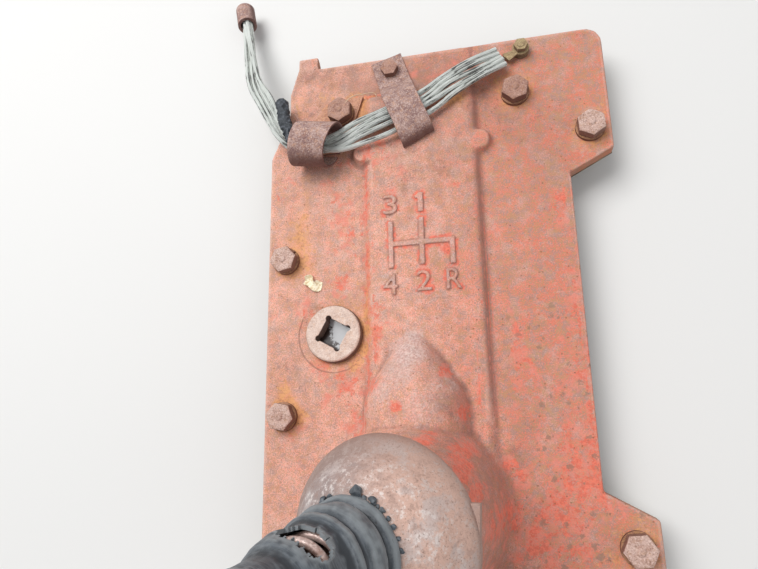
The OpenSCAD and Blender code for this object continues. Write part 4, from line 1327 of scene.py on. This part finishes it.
# Spring: it presses the dome down on the tower's head. Round wire, wound right-handed, rusty
# and rubbed shiny where the torn boot lets dirt in.
spring_r = 16.5 * MM
wire_r = 2 * MM
wire_sides = 14
spring_low = 52.2 * MM
spring_pitch = 9.9 * MM
spring_turns = 4
angles = [2 * pi * k / wire_sides for k in range(wire_sides)]
spring = coiled(
    "coil_spring", [(spring_r + wire_r * cos(a), wire_r * sin(a)) for a in angles],
    spring_pitch, spring_turns, steps=48,
)
put(spring, on_lever @ Matrix.Translation((0, 0, spring_low)))
spring_steel, tree, shader, place = start_material("spring_steel", Metallic=0.25)
skin = use_group(tree, rust_skin, Place=place)
colour = mixed(tree, skin["Mottle"], (0.52, 0.38, 0.34, 1), (0.36, 0.22, 0.18, 1))
colour = mixed(tree, between(tree, skin["Speckle"], 0.5, 0.64, 0, 0.6), colour, (0.78, 0.64, 0.58, 1))
roughness = between(tree, skin["Mottle"], 0, 1, 0.3, 0.55)
finish_material(tree, shader, colour, roughness, skin["Height"], 0.15 * MM)
dress(spring, "lever", "rusty_steel", spring_steel, "lever_spring", crease=40)

# Boot: a moulded rubber bellows that has perished. A ring lies on the dome, two full ribs and a
# narrow neck follow, and a sleeve grips the lever. The neck is torn open over the spring, with
# ragged tongues along the tear, and crumbs of rubber lie on the dome round the ring.
boot_view = [
    (26.2, 41.9), (27.7, 42.3), (27.9, 44.5), (27.2, 46.4), (25.4, 47.4), (23.4, 48.2), (23.2, 49.4),
    (24.8, 50.6), (26.3, 52.4), (26.7, 54.8), (26.5, 57.8), (25.7, 60.4), (24.2, 62.2), (22.4, 63.2),
    (21.8, 64.4), (22.4, 65.6), (24.0, 66.8), (24.6, 68.8), (24.2, 70.8), (22.8, 72.4), (21.3, 74.5),
    (21.2, 78.0), (21.5, 82.0), (21.9, 85.0), (22.3, 88.5), (22.0, 90.5), (21.0, 92.5), (20.6, 95.0),
    (20.0, 97.5), (18.9, 99.6), (17.3, 101.3), (16.2, 103.5), (15.9, 107.0), (15.8, 112.6),
    (15.3, 117.0), (15.2, 121.5),
]
rubber_t = 1.8 * MM
sag_depth = 0.5 * MM
# The tear: how far it reaches round the lever in degrees, and along it, before its edge is torn
tear_from, tear_to = 33, 106
tear_low, tear_high = 78.5 * MM, 95.5 * MM
tear_rounding = 6 * MM
tear_raggedness = 1.6 * MM
tongue_every = 9
tongue_l = 3.5 * MM
# Crumbs of rubber: how far round, how far out and how large, in degrees and millimetres
crumbs = [
    (80, 29, 3.2), (62, 28.6, 2.2), (120, 28, 2.2), (111, 27.8, 1.7), (49, 28.1, 1.5), (40, 28, 1.2),
    (31, 28.1, 1.4), (20, 28, 1.1), (71, 28, 1.3), (9, 28, 1.2), (55, 28, 1.1),
]


def in_tear(face):
    """Whether a face of the boot lies in the tear, whose edge is ragged."""
    x, y, z = face.center
    azimuth = degrees(atan2(y, x))
    ragged = noise.noise(face.center / (4 * MM)) + 0.6 * noise.noise(face.center / (1.5 * MM))
    tongue = tongue_l * max(0, 1 - abs((azimuth % tongue_every) - 3) / 2.2) * (0.5 + ragged)
    off_middle = abs((azimuth - (tear_from + tear_to) / 2) / ((tear_to - tear_from) / 2)) ** 4
    low = tear_low + off_middle * tear_rounding + tear_raggedness * ragged
    high = tear_high - off_middle * tear_rounding + tear_raggedness * ragged - tongue
    return tear_from < azimuth < tear_to and low < z < high


boot = turned("torn_boot", [(r * MM, z * MM) for r, z in boot_view], steps=150)
finish_with(boot, "SUBSURF", levels=1, render_levels=1)
for vertex in boot.data.vertices:
    around = vertex.co / (7 * MM)
    sag = noise.noise(around) + 0.5 * noise.noise(around * 2.3)
    vertex.co += Vector((vertex.co.x, vertex.co.y, 0)).normalized() * (sag_depth * sag)
select_faces(boot, in_tear)
bpy.ops.mesh.delete(type="FACE")
bpy.ops.mesh.select_mode(type="VERT")
bpy.ops.object.mode_set(mode="OBJECT")
finish_with(boot, "SOLIDIFY", thickness=rubber_t, offset=-1)
store_hollows(boot, rounds=24, reach=0.5 * MM)
for azimuth, out, size in crumbs:
    round_to = radians(azimuth)
    rise = sqrt(dome_out ** 2 / MM ** 2 - out ** 2) + 0.4 * size
    crumb = added(
        bpy.ops.mesh.primitive_ico_sphere_add, "crumb", subdivisions=3, radius=size * MM,
        location=Vector((out * cos(round_to), out * sin(round_to), rise)) * MM, scale=(1, 1, 0.7),
    )
    settle()
    dent(crumb, 0.5 * size * MM, 1.1 * size * MM)
    join(boot, crumb)
store(boot, "in_place", "FLOAT_VECTOR", points_of(boot))
put(boot, on_lever)

boot_rubber, tree, shader, place = start_material("boot_rubber")
own_place = stored(tree, "in_place")["Vector"]
lines = noise_of(tree, mapped(tree, own_place, Scale=(0.12, 0.12, 1)), 1.3 * MM, 4, 0.65)
patches = noise_of(tree, own_place, 9 * MM, 5, 0.7)
hollow = stored(tree, "hollow")["Fac"]
grit = noise_of(tree, own_place, 1.4 * MM, 4, 0.7)
cracks = times(tree, between(tree, lines, 0.36, 0.30), between(tree, patches, 0.5, 0.42))
colour = layered(
    tree, mixed(tree, between(tree, lines, 0.4, 0.66), (0.042, 0.050, 0.060, 1), (0.11, 0.125, 0.142, 1)),
    (between(tree, patches, 0.48, 0.66, 0, 0.5), (0.20, 0.215, 0.225, 1)),
    # Crests are lighter with dust, and the grooves are painted near black: painted shade in the grooves.
    (between(tree, hollow, -0.15, -0.8, 0, 0.6), (0.27, 0.29, 0.30, 1)),
    (between(tree, hollow, 0.05, 0.7, 0, 0.92), (0.014, 0.017, 0.022, 1)),
    (times(tree, cracks, 0.8), (0.012, 0.012, 0.013, 1)),
)
height = summed(tree, (lines, 0.5), (grit, 0.5), (cracks, -0.4))
finish_material(tree, shader, colour, between(tree, patches, 0.4, 0.65, 0.42, 0.65), height, 0.3 * MM)
dress(boot, "lever", "boot_rubber", boot_rubber, "lever_boot", crease=50)

# Studio: a pale floor just below the bolts' tips, a pale sky, and soft light from the front left.
# Far from the cover the floor fades into a pale backdrop, which only the camera and gloss see.
floor_z = cad_box[0].z - 1 * MM
floor_colour = (0.8, 0.79, 0.77, 1)
sky_colour = (0.93, 0.96, 1.0, 1)
sky_strength = 0.36
backdrop_colour = (0.86, 0.87, 0.88, 1)
# Where the floor starts to fade and where it is gone, in metres from the cover
fade_from, fade_to = 0.8, 2.6
# Each lamp: its place, its width and its power in watts
lamps = {"window_light": ((-0.75, 0.8, 1.8), 1.4, 38), "fill_light": ((1.3, -0.6, 1.3), 1.6, 7)}


def seen(tree):
    """1 where a ray comes from the camera or from gloss, and 0 where it only carries light."""
    rays = add_node(tree, "LightPath").outputs
    return maths(tree, "MAXIMUM", rays["Is Camera Ray"], rays["Is Glossy Ray"])


floor = added(bpy.ops.mesh.primitive_plane_add, "floor", size=12, location=(0, 0, floor_z))
floor_paint, tree, shader, place = start_material("floor_paint", Base_Color=floor_colour, Roughness=0.8)
here = add_node(tree, "NewGeometry").outputs["Position"]
away = add_node(tree, "VectorMath", {0: here}, operation="LENGTH").outputs["Value"]
far = times(tree, between(tree, away, fade_from, fade_to), seen(tree))
backdrop = add_node(tree, "Emission", {"Color": backdrop_colour, "Strength": 1}).outputs[0]
surface = add_node(tree, "MixShader", {0: far, 1: shader.outputs[0], 2: backdrop}).outputs[0]
tree.links.new(surface, tree.nodes["Material Output"].inputs["Surface"])
paint(floor, floor_paint)
sky = bpy.data.worlds.new("sky")
sky.use_nodes = True
tree = sky.node_tree
light = tree.nodes["Background"]
light.inputs["Color"].default_value = sky_colour
light.inputs["Strength"].default_value = sky_strength
backdrop = add_node(tree, "Background", {"Color": backdrop_colour, "Strength": 1}).outputs[0]
surface = add_node(tree, "MixShader", {0: seen(tree), 1: light.outputs[0], 2: backdrop}).outputs[0]
tree.links.new(surface, tree.nodes["World Output"].inputs["Surface"])
scene.world = sky
for name, (spot, size, power) in lamps.items():
    lamp = added(bpy.ops.object.light_add, name, type="AREA", location=spot)
    lamp.data.size = size
    lamp.data.energy = power
    lamp.rotation_euler = Vector(spot).to_track_quat("Z", "Y").to_euler()
scene.view_settings.view_transform = "Standard"
